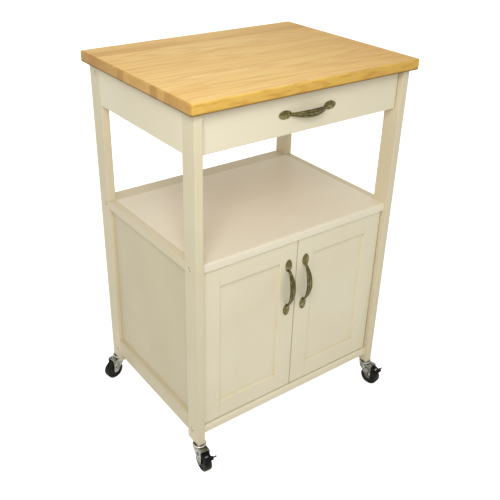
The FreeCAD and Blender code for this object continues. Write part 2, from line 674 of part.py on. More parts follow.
def wheel_band(x, outer, turns):
    """Piece of a ring round the wheel between pairs of places along X and of turns."""
    middle = (turns[0] + turns[1]) / 2
    edges = []
    for radius in (BRAKE_RADIUS, outer):
        run = [round_wheel(x[0], radius, turn) for turn in (turns[0], middle, turns[1])]
        edges.append(Part.Arc(*run).toShape())
    for turn in turns:
        edges.append(Part.makeLine(round_wheel(x[0], BRAKE_RADIUS, turn), round_wheel(x[0], outer, turn)))
    return Part.Face(Part.Wire(Part.__sortEdges__(edges))).extrude(V(x[1] - x[0], 0, 0))


def brake_lever():
    """Curved band over the wheel that ends in a thicker pedal with a thin tab at its right."""
    half = FORK_INNER_X - BRAKE_SIDE_GAP
    pedal_start = BRAKE_SWEEP - BRAKE_PEDAL_SWEEP
    band = wheel_band((-half, half), BRAKE_RADIUS + BRAKE_BAND, (0, BRAKE_SWEEP))
    pedal_outer = BRAKE_RADIUS + BRAKE_PEDAL_THICKNESS
    pedal = wheel_band((-half, BRAKE_PEDAL_REACH), pedal_outer, (pedal_start, BRAKE_SWEEP))
    root = round_wheel(half, (BRAKE_RADIUS + pedal_outer) / 2, (pedal_start + BRAKE_SWEEP) / 2)
    tab_y = (root.y - BRAKE_TAB_DEPTH / 2, root.y + BRAKE_TAB_DEPTH / 2)
    tab = block((root.x, BRAKE_TAB_REACH), tab_y, (root.z, root.z + BRAKE_TAB_THICKNESS))
    pivot = V(-half, -CASTER_TRAIL, BRAKE_PIVOT_Z)
    boss = Part.makeCylinder(BRAKE_BOSS_RADIUS, 2 * half, pivot, AXIS_X)
    hole = Part.makeCylinder(BRAKE_PIN_RADIUS + BRAKE_PIN_PLAY, 2 * half, pivot, AXIS_X)
    return band.fuse([pedal, tab, boss]).cut(hole).removeSplitter()


def caster_pieces():
    """The four casters on their fixed stems, each turned as it stands, the front two with a brake."""
    pieces = {}
    for corner, turn in CASTER_TURNS.items():
        braked = corner.startswith("front")
        x = POST_X if corner.endswith("right") else -POST_X
        y = -STEM_Y if braked else STEM_Y
        turning = {"fork": caster_fork(braked), "axle": caster_axle(), "wheel": caster_wheel()}
        if braked:
            turning["brake"] = brake_lever()
        for shape in turning.values():
            shape.rotate(ORIGIN, AXIS_Z, turn)
        for name, shape in {"stem": caster_stem(), **turning}.items():
            shape.translate(V(x, y, 0))
            pieces["caster_" + corner + "_" + name] = shape
    return pieces


def all_pieces():
    """Every node of the cart about the middle of the worktop."""
    pieces = frame_pieces()
    pieces.update(drawer_pieces())
    pieces.update(door_pieces())
    pieces.update(caster_pieces())
    return pieces


def centring_shift(pieces):
    """The move that brings the middle of the whole cart's footprint to the origin."""
    outline = group(list(pieces.values())).optimalBoundingBox(False, False)
    return V(-outline.Center.x, -outline.Center.y, -outline.ZMin)


PIECES = all_pieces()
SHIFT = centring_shift(PIECES)
os.makedirs("parts", exist_ok=True)
for node, shape in PIECES.items():
    shape.translate(SHIFT)
    shape.exportStep("parts/" + node + ".step")
print(len(PIECES), "nodes, moved by", SHIFT)
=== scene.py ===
"""Looks of a rolling kitchen cart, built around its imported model.

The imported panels, shelf, floor board, drawer box, runners, cleats, catches and pivot pins stay and get their
finishes. The worktop, posts, aprons, rails, drawer front, door frames, pulls, screws and casters are modelled again
here, with the roundings and small forms of the real ones.
"""

import json
import logging
import math
from collections.abc import Callable, Iterable, Iterator, Sequence
from contextlib import contextmanager
from dataclasses import dataclass
from enum import Enum
from functools import cache

import bmesh
import bpy
from mathutils import Euler, Matrix, Vector


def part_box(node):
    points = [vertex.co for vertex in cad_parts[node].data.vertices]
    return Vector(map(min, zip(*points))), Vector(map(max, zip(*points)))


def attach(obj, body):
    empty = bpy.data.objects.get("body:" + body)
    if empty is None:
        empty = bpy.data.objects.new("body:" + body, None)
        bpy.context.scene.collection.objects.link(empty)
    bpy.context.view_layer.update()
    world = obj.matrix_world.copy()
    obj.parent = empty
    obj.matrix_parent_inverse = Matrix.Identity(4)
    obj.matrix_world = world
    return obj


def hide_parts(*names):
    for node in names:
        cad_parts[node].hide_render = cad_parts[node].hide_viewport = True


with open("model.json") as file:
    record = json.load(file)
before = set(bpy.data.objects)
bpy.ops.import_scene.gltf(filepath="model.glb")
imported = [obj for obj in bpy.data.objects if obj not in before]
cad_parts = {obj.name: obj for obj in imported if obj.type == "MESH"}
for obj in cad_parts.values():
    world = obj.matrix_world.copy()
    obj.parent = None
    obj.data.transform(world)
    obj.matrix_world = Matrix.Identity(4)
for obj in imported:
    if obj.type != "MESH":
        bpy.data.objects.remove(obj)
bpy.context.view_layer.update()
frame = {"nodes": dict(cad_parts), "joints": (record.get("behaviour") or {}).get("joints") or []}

LOG = logging.getLogger("kitchen_cart")
STAIN_AND_SHADE = "stain_and_shade"
SIDES = ("left", "right")
CORNERS = [(row, side) for row in ("front", "back") for side in SIDES]
PULLS = {"drawer_pull": "drawer", "door_left_pull": "door_left", "door_right_pull": "door_right"}
MM = 0.001
TINY = 0.02 * MM  # distance within which two places are one
STRAIGHT = 0.99  # least share of its length that an edge has along an axis it follows
QUARTER = math.pi / 2

Piece = bpy.types.Object
Material = bpy.types.Material
Number = float | int
Pair = tuple[float, float]
Triple = tuple[float, float, float]
Steps = tuple[Pair, ...]
Box = tuple[Vector, Vector]


def tone(red: int, green: int, blue: int) -> Triple:
    """Linear colour, by the screen's curve, of a screen colour whose channels go from 0 to 255."""
    shares = [channel / 255 for channel in (red, green, blue)]
    return tuple(share / 12.92 if share < 0.04045 else ((share + 0.055) / 1.055) ** 2.4 for share in shares)


class Grain(Enum):
    """Axis that the wood of a board runs along."""

    ACROSS = "X"
    DEEP = "Y"
    UPRIGHT = "Z"


class Cream(Enum):
    """Shades of the cream lacquer, each light and deep; post and panel are darker copies painting shade, shelf a
    lighter one painting light.
    """

    # Board is the paint's own colour; the darker post and panel copies are painted shade, the lighter shelf copy
    # painted light.
    BOARD = (tone(239, 231, 207), tone(234, 225, 199))
    POST = (tone(228, 217, 189), tone(222, 211, 181))
    PANEL = (tone(218, 207, 177), tone(212, 200, 169))
    # Lighter copy of the paint: painted light on the shelf under the worktop.
    SHELF_IN_PAINTED_LIGHT = (tone(245, 237, 218), tone(240, 231, 210))


def only(*pieces: Piece) -> None:
    """Select some pieces and nothing else.

    Args:
        pieces: The pieces, of which the first becomes the active one.
    """
    bpy.ops.object.select_all(action="DESELECT")
    for piece in reversed(pieces):
        piece.select_set(True)
        bpy.context.view_layer.objects.active = piece


@contextmanager
def editing(piece: Piece) -> Iterator[None]:
    """Edit mode on one piece, with all of it selected.

    Args:
        piece: The piece that is shaped.

    Yields:
        Nothing, while the piece is in edit mode.
    """
    only(piece)
    bpy.ops.object.mode_set(mode="EDIT")
    bpy.ops.mesh.select_all(action="SELECT")
    yield
    bpy.ops.object.mode_set(mode="OBJECT")


def pick(piece: Piece, test: Callable[[Vector, Vector], bool]) -> None:
    """Select edges in edit mode by place and direction.

    Args:
        piece: The piece in edit mode.
        test: Says by an edge's middle and direction whether it is selected.
    """
    bpy.ops.mesh.select_mode(type="EDGE")
    bpy.ops.mesh.select_all(action="DESELECT")
    mesh = bmesh.from_edit_mesh(piece.data)
    for edge in mesh.edges:
        near, far = (end.co for end in edge.verts)
        if test((near + far) / 2, (far - near).normalized()):
            edge.select_set(True)
    bmesh.update_edit_mesh(piece.data)


def named(name: str) -> Piece:
    """Name the piece that was just added and keep its place in its mesh.

    Args:
        name: The piece's name.

    Returns:
        The piece.
    """
    piece = bpy.context.object
    piece.name = piece.data.name = name
    bpy.ops.object.transform_apply(location=True, rotation=True, scale=True)
    return piece


def block(name: str, low: Vector, high: Vector) -> Piece:
    """Box between two corners, as a start.

    Args:
        name: The piece's name.
        low: Lowest corner.
        high: Highest corner.

    Returns:
        The box.
    """
    only()
    bpy.ops.mesh.primitive_cube_add(size=1, location=(low + high) / 2)
    bpy.context.object.scale = high - low
    return named(name)


def ring_of_points(name: str, points: Sequence[Vector]) -> Piece:
    """Closed outline through given points, drawn from a circle whose points are moved one by one.

    Args:
        name: The piece's name.
        points: Corners of the outline, in order.

    Returns:
        The outline, with no face in it.
    """
    only()
    bpy.ops.mesh.primitive_circle_add(vertices=len(points), radius=1)
    outline = named(name)
    for vertex, point in zip(outline.data.vertices, points):
        vertex.co = point
    return outline


def spread(start: float, end: float, steps: int) -> list[float]:
    """Values from a start to an end, evenly apart."""
    return [start + (end - start) * step / steps for step in range(steps + 1)]


def arc(centre: Pair, radius: float, start: float, end: float) -> list[Pair]:
    """Points along an arc, about 9 degrees apart.

    Args:
        centre: The arc's centre.
        radius: Its radius.
        start: Where it starts, in degrees.
        end: Where it ends, in degrees.

    Returns:
        The points.
    """
    turns = [math.radians(turn) for turn in spread(start, end, max(2, round(abs(end - start) / 9)))]
    return [(centre[0] + radius * math.cos(turn), centre[1] + radius * math.sin(turn)) for turn in turns]


def shifted(steps: Steps, radius: float = 0, level: float = 0) -> list[Pair]:
    """Corners of a profile, given in mm from a radius and a level in metres."""
    return [(radius + out * MM, level + up * MM) for out, up in steps]


def flipped(profile: Sequence[Pair]) -> list[Pair]:
    """Profile upside down, from its other end."""
    return [(radius, -level) for radius, level in reversed(profile)]


def tidy_shell() -> None:
    """Merge doubled points in edit mode and turn all faces outwards."""
    bpy.ops.mesh.select_all(action="SELECT")
    bpy.ops.mesh.remove_doubles(threshold=TINY)
    bpy.ops.mesh.normals_make_consistent(inside=False)


def turned(name: str, profile: Sequence[Pair], steps: int = 64) -> Piece:
    """Piece turned round Z from a profile, as on a lathe.

    Args:
        name: The piece's name.
        profile: Pairs of radius and height. It is closed as a ring unless it starts and ends on the axis.
        steps: Faces round a full turn.

    Returns:
        The closed piece.
    """
    piece = ring_of_points(name, [Vector((radius, 0, height)) for radius, height in profile])
    with editing(piece):
        if profile[0][0] == profile[-1][0] == 0:
            pick(piece, lambda middle, way: abs(middle.x) < TINY and abs(way.z) > STRAIGHT)
            bpy.ops.mesh.delete(type="EDGE_FACE")
        bpy.ops.mesh.select_all(action="SELECT")
        bpy.ops.mesh.spin(steps=steps, angle=2 * math.pi, center=(0, 0, 0), axis=(0, 0, 1))
        tidy_shell()
    return piece


def sleeve(name: str, inner: float, outer: float, half: float, steps: int = 32) -> Piece:
    """Pin or ring round Z, half of it above the origin."""
    upper = [(outer, half), (inner, half)]
    return turned(name, flipped(upper) + upper, steps)


def plate(name: str, points: Sequence[Vector], thickness: Vector) -> Piece:
    """Flat plate cut to an outline and given its thickness by an extrusion.

    Args:
        name: The piece's name.
        points: Corners of the outline, in order.
        thickness: The way and the distance of the extrusion.

    Returns:
        The closed plate.
    """
    piece = ring_of_points(name, points)
    with editing(piece):
        bpy.ops.mesh.edge_face_add()
        bpy.ops.mesh.extrude_region_move(TRANSFORM_OT_translate={"value": thickness})
        tidy_shell()
    return piece


def modified(piece: Piece, kind: str, **settings: object) -> Piece:
    """Add a modifier to a piece, set it and apply it.

    Args:
        piece: The piece.
        kind: The modifier's type.
        settings: Its settings by name.

    Returns:
        The same piece.
    """
    only(piece)
    modifier = piece.modifiers.new(kind.title(), kind)
    for key, value in settings.items():
        setattr(modifier, key, value)
    bpy.ops.object.modifier_apply(modifier=modifier.name)
    return piece


def cut(piece: Piece, cutter: Piece, operation: str = "DIFFERENCE") -> Piece:
    """Cut a piece by another, or keep what both share."""
    return modified(piece, "BOOLEAN", object=cutter, operation=operation, solver="EXACT")


def eased(piece: Piece, width: float, segments: int = 3, angle: float = 40) -> Piece:
    """Round every edge that is sharper than an angle in degrees."""
    limit = math.radians(angle)
    return modified(piece, "BEVEL", width=width, segments=segments, limit_method="ANGLE", angle_limit=limit)


def smoothed(piece: Piece, angle: float = 35) -> Piece:
    """Shade a piece smooth, with its flat faces flat.

    Args:
        piece: The piece.
        angle: Angle in degrees above which an edge stays sharp.

    Returns:
        The same piece.
    """
    only(piece)
    bpy.ops.object.shade_smooth_by_angle(angle=math.radians(angle))
    return modified(piece, "WEIGHTED_NORMAL", keep_sharp=True)


def joined(name: str, pieces: Sequence[Piece]) -> Piece:
    """Several pieces as one, under a new name.

    Args:
        name: The new name.
        pieces: What is joined.

    Returns:
        The joined piece.
    """
    only(*pieces)
    bpy.ops.object.join()
    whole = pieces[0]
    whole.name = whole.data.name = name
    return whole


def moved(piece: Piece, place: Matrix) -> Piece:
    """Move a piece and keep the move in its mesh.

    Args:
        piece: The piece.
        place: The move.

    Returns:
        The same piece.
    """
    only(piece)
    piece.matrix_world = place
    bpy.ops.object.transform_apply(location=True, rotation=True, scale=True)
    return piece


def copied(piece: Piece, name: str, place: Matrix) -> Piece:
    """Copy of a piece with a mesh of its own, moved to its place.

    Args:
        piece: The piece that was modelled once.
        name: The copy's name.
        place: The move, which ends up in the copy's mesh.

    Returns:
        The copy.
    """
    twin = piece.copy()
    twin.data = piece.data.copy()
    twin.name = twin.data.name = name
    bpy.context.scene.collection.objects.link(twin)
    return moved(twin, place)


def marked(piece: Piece, shares: Iterable[Number]) -> None:
    """Keep how far from zero to one each point is darkened, by patina or as painted shade, for the finishes that
    read it.
    """
    stain_and_shade = piece.data.attributes.new(STAIN_AND_SHADE, "FLOAT", "POINT")
    stain_and_shade.data.foreach_set("value", [float(share) for share in shares])


def stained_and_shaded(piece: Piece, share: Callable[[Vector], Number]) -> Piece:
    """Mark a piece by a function that gives the share at a place."""
    marked(piece, (share(vertex.co) for vertex in piece.data.vertices))
    return piece


def discarded(*pieces: Piece) -> None:
    """Remove the models that copies were made from, and what has cut others."""
    for piece in pieces:
        bpy.data.objects.remove(piece)


def dressed(piece: Piece, material: Material, slot: str, body: str, *nodes: str) -> None:
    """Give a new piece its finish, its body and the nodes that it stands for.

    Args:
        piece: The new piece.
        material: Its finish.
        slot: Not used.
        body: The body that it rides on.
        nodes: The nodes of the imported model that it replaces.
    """
    piece.data.materials.clear()
    piece.data.materials.append(material)
    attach(piece, body)
    if nodes:
        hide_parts(*nodes)
    LOG.info("%s rides on %s", piece.name, body)


def painted(node: str, material: Material) -> None:
    """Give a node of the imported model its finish.

    Args:
        node: The node's name.
        material: The finish.
    """
    mesh = frame["nodes"][node].data
    mesh.materials.clear()
    mesh.materials.append(material)
    LOG.info("%s keeps its shape and gets %s", node, material.name)


def summed(operation: str, reflected: bool = False) -> Callable[["Signal", "Signal | Number"], "Signal"]:
    """Method that adds a Math node for a signal and another value, which comes first where it is reflected."""
    return lambda self, other: self.math(operation, *((other, self) if reflected else (self, other)))


class Signal:
    """A shader socket that Python sums work on: each operator adds its Math node."""

    def __init__(self, graph: "Graph", socket: bpy.types.NodeSocket) -> None:
        """Wrap a socket of a graph."""
        self.graph = graph
        self.socket = socket

    def math(self, operation: str, *values: "Signal | Number") -> "Signal":
        """Result of a Math node on some values."""
        return self.graph.node("ShaderNodeMath", {"operation": operation}, dict(enumerate(values)))

    __add__ = __radd__ = summed("ADD")
    __sub__ = summed("SUBTRACT")
    __rsub__ = summed("SUBTRACT", reflected=True)
    __mul__ = __rmul__ = summed("MULTIPLY")
    __truediv__ = summed("DIVIDE")
    larger = summed("MAXIMUM")

    def __abs__(self) -> "Signal":
        """Size without the sign."""
        return self.math("ABSOLUTE", self)

    def floor(self) -> "Signal":
        """Whole part."""
        return self.math("FLOOR", self)

    def fraction(self) -> "Signal":
        """Part after the whole."""
        return self.math("FRACT", self)

    def between(self, low: Number, high: Number) -> "Signal":
        """Share of the way from one value to another, kept from zero to one."""
        sockets = {"Value": self, "From Min": low, "From Max": high}
        return self.graph.node("ShaderNodeMapRange", {"clamp": True}, sockets)


class Graph:
    """Node graph of one material or of the world."""

    def __init__(self, name: str, world: bool = False) -> None:
        """Start a material or a world.

        Args:
            name: Its name.
            world: Whether it is a world.
        """
        self.owner = (bpy.data.worlds if world else bpy.data.materials).new(name)
        self.owner.use_nodes = True
        self.nodes = self.owner.node_tree.nodes
        self.links = self.owner.node_tree.links

    def node(
        self,
        kind: str,
        settings: dict[str, object] | None = None,
        sockets: dict[str | int, object] | None = None,
        output: str | int = 0,
    ) -> Signal:
        """Add a node.

        Args:
            kind: The node's type.
            settings: Its settings, which are set first. Stops are a ramp's pairs of position and colour.
            sockets: Values or signals for its inputs, by name or number.
            output: The output that is wanted.

        Returns:
            The wanted output.
        """
        made = self.nodes.new(kind)
        for key, value in (settings or {}).items():
            if key == "stops":
                self._set_stops(made.color_ramp, value)
            else:
                setattr(made, key, value)
        for key, value in (sockets or {}).items():
            self.feed(made.inputs[key], value)
        return Signal(self, made.outputs[output])

    @staticmethod
    def _set_stops(ramp: bpy.types.ColorRamp, stops: Sequence[tuple[float, Triple]]) -> None:
        """Put colour stops on a ramp.

        Args:
            ramp: The ramp, which comes with two stops.
            stops: Pairs of position and colour.
        """
        for index, (position, colour) in enumerate(stops):
            element = ramp.elements[index] if index < 2 else ramp.elements.new(position)
            element.position = position
            element.color = (*colour, 1)

    def feed(self, socket: bpy.types.NodeSocket, value: object) -> None:
        """Link a signal to an input, or set a value on it.

        Args:
            socket: The input.
            value: A signal, a number, or three numbers for a colour.
        """
        if isinstance(value, Signal):
            self.links.new(value.socket, socket)
        else:
            socket.default_value = (*value, 1) if socket.type == "RGBA" else value

    def place(self) -> Signal:
        """Object coordinates."""
        return self.node("ShaderNodeTexCoord", output="Object")

    def along(self, grain: Grain) -> list[Signal]:
        """Object coordinates as numbers.

        Args:
            grain: The axis that comes first.

        Returns:
            The one along the grain, then the other two in their order.
        """
        split = self.node("ShaderNodeSeparateXYZ", sockets={"Vector": self.place()}).socket.node
        letters = sorted("XYZ", key=lambda letter: letter != grain.value)
        return [Signal(self, split.outputs[letter]) for letter in letters]

    def vector(self, *parts: Signal | Number) -> Signal:
        """Vector of three numbers."""
        return self.node("ShaderNodeCombineXYZ", sockets=dict(zip("XYZ", parts)))

    def noise(self, vector: Signal, scale: float, detail: float = 2, roughness: float = 0.5) -> Signal:
        """Smooth noise from zero to one."""
        sockets = {"Vector": vector, "Scale": scale, "Detail": detail, "Roughness": roughness}
        return self.node("ShaderNodeTexNoise", sockets=sockets)

    def streaks(self, parts: Sequence[Signal], scales: Triple, detail: float = 3) -> Signal:
        """Noise with a scale of its own along each coordinate."""
        return self.noise(self.vector(*(part * scale for part, scale in zip(parts, scales))), 1, detail)

    def chance(self, *parts: Signal | Number) -> Signal:
        """A number from zero to one that stays the same for the same three numbers."""
        return self.node("ShaderNodeTexWhiteNoise", {"noise_dimensions": "3D"}, {"Vector": self.vector(*parts)})

    def stain_and_shade(self) -> Signal:
        """How far a point is darkened, by patina or as painted shade."""
        return self.node("ShaderNodeAttribute", {"attribute_name": STAIN_AND_SHADE}, output="Fac")

    def seen_by(self, *rays: str) -> Signal:
        """Which rays meet the surface.

        Args:
            rays: Kinds of rays, such as the camera's.

        Returns:
            One for those kinds, and zero for the rest.
        """
        share, *others = (self.node("ShaderNodeLightPath", output=f"Is {ray} Ray") for ray in rays)
        for other in others:
            share = share.larger(other)
        return share

    def mix(self, share: Signal | Number, first: object, second: object, blend: str = "MIX") -> Signal:
        """Colour part of the way from one to another, or to both multiplied."""
        settings = {"data_type": "RGBA", "blend_type": blend}
        return self.node("ShaderNodeMix", settings, {"Factor": share, 6: first, 7: second}, 2)

    def shade(self, colour: object, *tints: tuple[Signal | Number, Triple]) -> Signal:
        """Colour multiplied by each tint where its share says so.

        Args:
            colour: The colour.
            tints: Pairs of share and tint, in order.

        Returns:
            The tinted colour.
        """
        for share, tint in tints:
            colour = self.mix(share, colour, tint, "MULTIPLY")
        return colour

    def bumps(self, height: Signal, strength: float, distance: float) -> None:
        """Feed a height to the shader's normal."""
        sockets = {"Height": height, "Strength": strength, "Distance": distance}
        self.finished(Normal=self.node("ShaderNodeBump", sockets=sockets))

    def finished(self, **sockets: object) -> Material:
        """Set the shader's inputs.

        Args:
            sockets: Values or signals by the input's name, with underscores for spaces.

        Returns:
            The material.
        """
        for key, value in sockets.items():
            self.feed(self.nodes["Principled BSDF"].inputs[key.replace("_", " ")], value)
        return self.owner

    def ended(self, output: str, kind: str, *shaders: Signal | Number) -> None:
        """Send shaders, put together by a node of a kind, to an output's surface."""
        surface = self.nodes[output].inputs["Surface"]
        self.feed(surface, self.node(kind, sockets=dict(enumerate(shaders))))


@dataclass(frozen=True)
class CreamPaint:
    """Satin lacquer over wood, in which the grain shows faintly."""

    shade: Cream
    grain: Grain
    fibre_scales: Triple = (9, 260, 260)
    cloud_scale: float = 5
    peel_scale: float = 700
    fibre_tint: Triple = tone(232, 228, 214)

    @cache
    def material(self) -> Material:
        """Build the finish once for its shade and run of the grain.

        Returns:
            The material.
        """
        graph = Graph(f"{self.shade.name}_paint_{self.grain.value}".lower())
        fibre = graph.streaks(graph.along(self.grain), self.fibre_scales)
        cloud = graph.noise(graph.place(), self.cloud_scale)
        peel = graph.noise(graph.place(), self.peel_scale, 1)
        colour = graph.mix(cloud.between(0.3, 0.7), *self.shade.value)
        colour = graph.shade(colour, (fibre.between(0.5, 0.8) * 0.1, self.fibre_tint))
        graph.bumps(fibre * 0.6 + peel * 0.4, 0.05, 0.3 * MM)
        return graph.finished(Base_Color=colour, Roughness=0.4 + 0.1 * cloud, Specular_IOR_Level=0.35)


@dataclass(frozen=True)
class StaveWood:
    """Oiled worktop glued up from full-length boards along X, with darker edges and end grain, and painted shade
    towards its right end and along its lower edge.
    """

    low: Vector
    high: Vector
    boards: int = 6
    block_width: float = 27 * MM
    pore_scales: Triple = (70, 1500, 1500)
    mottle_scales: Triple = (26, 60, 130)
    speckle_scales: Triple = (20, 420, 60)
    light: Triple = tone(252, 217, 143)
    honey: Triple = tone(246, 204, 122)
    dark: Triple = tone(221, 170, 86)
    rim: Triple = tone(228, 188, 86)
    end_grain: Triple = tone(176, 128, 56)
    ring_tint: Triple = tone(226, 188, 132)
    fibre_tint: Triple = tone(230, 200, 150)
    pore_tint: Triple = tone(180, 132, 80)
    # Painted shade that darkens the worktop towards its right end.
    right_end_painted_shade: Triple = tone(232, 220, 176)
    seam_tint: Triple = tone(190, 138, 78)
    mottle_tint: Triple = tone(206, 168, 104)
    # Painted shade along the lower rounded edge.
    underside_painted_shade: Triple = tone(120, 98, 50)

    def material(self) -> Material:
        """Build the finish.

        Returns:
            The material.
        """
        graph = Graph("stave_wood")
        middle, half = (self.low + self.high) / 2, (self.high - self.low) / 2
        x, y, z = place = graph.along(Grain.ACROSS)
        across = (y - self.low.y) / (2 * half.y / self.boards)
        slide = graph.chance(across.floor(), 7, 0)
        wave = graph.noise(graph.vector(x * 1.1 + slide * 31, y * 11 + slide * 17, z * 11), 1, 3, 0.55)
        rings = abs((wave * 13 + slide * 3).fraction() - 0.5) * 2
        fibre = graph.noise(graph.vector(x * 12 + slide * 31, y * 330, z * 330), 1, 4, 0.6)
        pores = graph.streaks(place, self.pore_scales, 1)
        colour = graph.node(
            "ShaderNodeValToRGB",
            {"stops": ((0.0, self.dark), (1.0, self.light), (0.5, self.honey))},
            {"Fac": slide * 0.45 + wave.between(0.32, 0.68) * 0.55},
        )
        colour = graph.shade(
            colour,
            (rings.between(0.35, 1) * 0.4, self.ring_tint),
            (fibre.between(0.45, 0.75) * 0.3, self.fibre_tint),
            (pores.between(0.62, 0.72) * 0.2, self.pore_tint),
            # Painted shade: darker towards the right end.
            (x.between(middle.x, self.high.x) * 0.75, self.right_end_painted_shade),
            (abs(across.fraction() - 0.5).between(0.488, 0.496) * 0.4, self.seam_tint),
        )
        rim = abs(y - middle.y).between(half.y - 5 * MM, half.y - 2 * MM)
        colour = graph.mix(rim * (0.5 + 0.4 * wave), colour, self.rim)
        mottle = graph.streaks(place, self.mottle_scales).between(0.5, 0.72)
        colour = graph.shade(colour, (rim * mottle * 0.5, self.mottle_tint))
        end = abs(x - middle.x).between(half.x - 4.5 * MM, half.x - 1.5 * MM)
        stave = graph.chance((y / self.block_width).floor(), 11, 5)
        speckle = graph.streaks(place, self.speckle_scales)
        colour = graph.mix(end * (0.4 + 0.4 * stave + 0.2 * speckle), colour, self.end_grain)
        # Painted shade: darker along the lower rounded edge.
        painted_underside_shade_share = 1 - z.between(self.low.z + 1.5 * MM, self.low.z + 5 * MM)
        colour = graph.shade(colour, (painted_underside_shade_share * 0.9, self.underside_painted_shade))
        graph.bumps(fibre * 0.6 + pores * 0.4, 0.08, 0.3 * MM)
        return graph.finished(Base_Color=colour, Roughness=0.42 + 0.12 * fibre, Specular_IOR_Level=0.3)


@dataclass(frozen=True)
class BareWood:
    """Light sanded wood of the drawer box and of what holds it."""

    grain: Grain
    wave_scales: Triple = (1.6, 16, 16)
    fibre_scales: Triple = (20, 420, 420)
    light: Triple = tone(226, 196, 150)
    dark: Triple = tone(206, 168, 118)
    ring_tint: Triple = tone(214, 176, 124)
    fibre_tint: Triple = tone(222, 196, 158)

    @cache
    def material(self) -> Material:
        """Build the finish once for its run of the grain.

        Returns:
            The material.
        """
        graph = Graph("bare_wood_" + self.grain.value.lower())
        place = graph.along(self.grain)
        wave, fibre = (graph.streaks(place, scales) for scales in (self.wave_scales, self.fibre_scales))
        rings = abs((wave * 18).fraction() - 0.5) * 2
        colour = graph.mix(wave.between(0.3, 0.7), self.light, self.dark)
        tints = (rings.between(0.55, 1) * 0.3, self.ring_tint), (fibre.between(0.45, 0.75) * 0.35, self.fibre_tint)
        colour = graph.shade(colour, *tints)
        graph.bumps(fibre, 0.15, 0.3 * MM)
        return graph.finished(Base_Color=colour, Roughness=0.6 + 0.12 * fibre)


@dataclass(frozen=True)
class AgedBrass:
    """Olive brown plated metal, dark in its flutes and brighter where it is rubbed."""

    rubbed: Triple = tone(150, 141, 100)
    plain: Triple = tone(97, 88, 48)
    dark: Triple = tone(34, 27, 12)
    grit_tint: Triple = tone(170, 160, 130)

    def material(self) -> Material:
        """Build the finish.

        Returns:
            The material.
        """
        graph = Graph("aged_brass")
        cloud = graph.noise(graph.place(), 150, 3)
        grit = graph.noise(graph.place(), 1500)
        colour = graph.mix(cloud.between(0.46, 0.72), self.plain, self.rubbed)
        colour = graph.mix(graph.stain_and_shade() * (0.75 + 0.25 * cloud), colour, self.dark)
        colour = graph.shade(colour, (grit.between(0.55, 0.8) * 0.4, self.grit_tint))
        graph.bumps(grit, 0.12, 0.15 * MM)
        return graph.finished(Base_Color=colour, Metallic=0.85, Roughness=0.34 + 0.22 * cloud)


@dataclass(frozen=True)
class PlatedSteel:
    """Bright plating with fine rolling marks, darkened where marked: painted shade in gaps and under parts, and the
    brake tab's darker colour.
    """

    name: str
    light: Triple
    dark: Triple
    roughness: float
    # Dark colour for painted shade in gaps and under parts, and for the brake tab.
    stain_and_shade_tint: Triple = tone(36, 34, 28)

    def material(self) -> Material:
        """Build the finish.

        Returns:
            The material.
        """
        graph = Graph(self.name)
        cloud = graph.noise(graph.place(), 90, 3)
        marks = graph.noise(graph.place(), 1200)
        colour = graph.mix(cloud.between(0.38, 0.62), self.light, self.dark)
        colour = graph.mix(graph.stain_and_shade(), colour, self.stain_and_shade_tint)
        graph.bumps(marks, 0.08, 0.1 * MM)
        return graph.finished(Base_Color=colour, Metallic=1.0, Roughness=self.roughness + 0.14 * marks)


@dataclass(frozen=True)
class Moulded:
    """Moulded rubber or plastic with a fine matt skin."""

    name: str
    colour: Triple
    worn: Triple
    roughness: float = 0.45

    def material(self) -> Material:
        """Build the finish.

        Returns:
            The material.
        """
        graph = Graph(self.name)
        skin = graph.noise(graph.place(), 1600)
        cloud = graph.noise(graph.place(), 120, 3)
        colour = graph.mix(cloud.between(0.4, 0.75) * 0.8, self.colour, self.worn)
        graph.bumps(skin, 0.15, 0.12 * MM)
        return graph.finished(Base_Color=colour, Roughness=self.roughness + 0.15 * skin, Specular_IOR_Level=0.12)


@dataclass
class Worktop:
    """Thick board with rounded corners and eased edges."""

    corner_radius: float = 5.5 * MM
    upper_ease: float = 4 * MM
    lower_ease: float = 2 * MM

    def build(self) -> None:
        """Model the board in the worktop's box and dress it."""
        low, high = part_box("worktop")
        board = block("worktop_board", low, high)
        with editing(board):
            for test, radius, segments in (
                (lambda middle, way: abs(way.z) > STRAIGHT, self.corner_radius, 8),
                (lambda middle, way: middle.z > high.z - TINY, self.upper_ease, 5),
                (lambda middle, way: middle.z < low.z + TINY, self.lower_ease, 3),
            ):
                pick(board, test)
                bpy.ops.mesh.bevel(offset=radius, segments=segments)
        finish = StaveWood(low, high).material()
        dressed(smoothed(board, 30), finish, "worktop_wood", "cart_frame", "worktop")


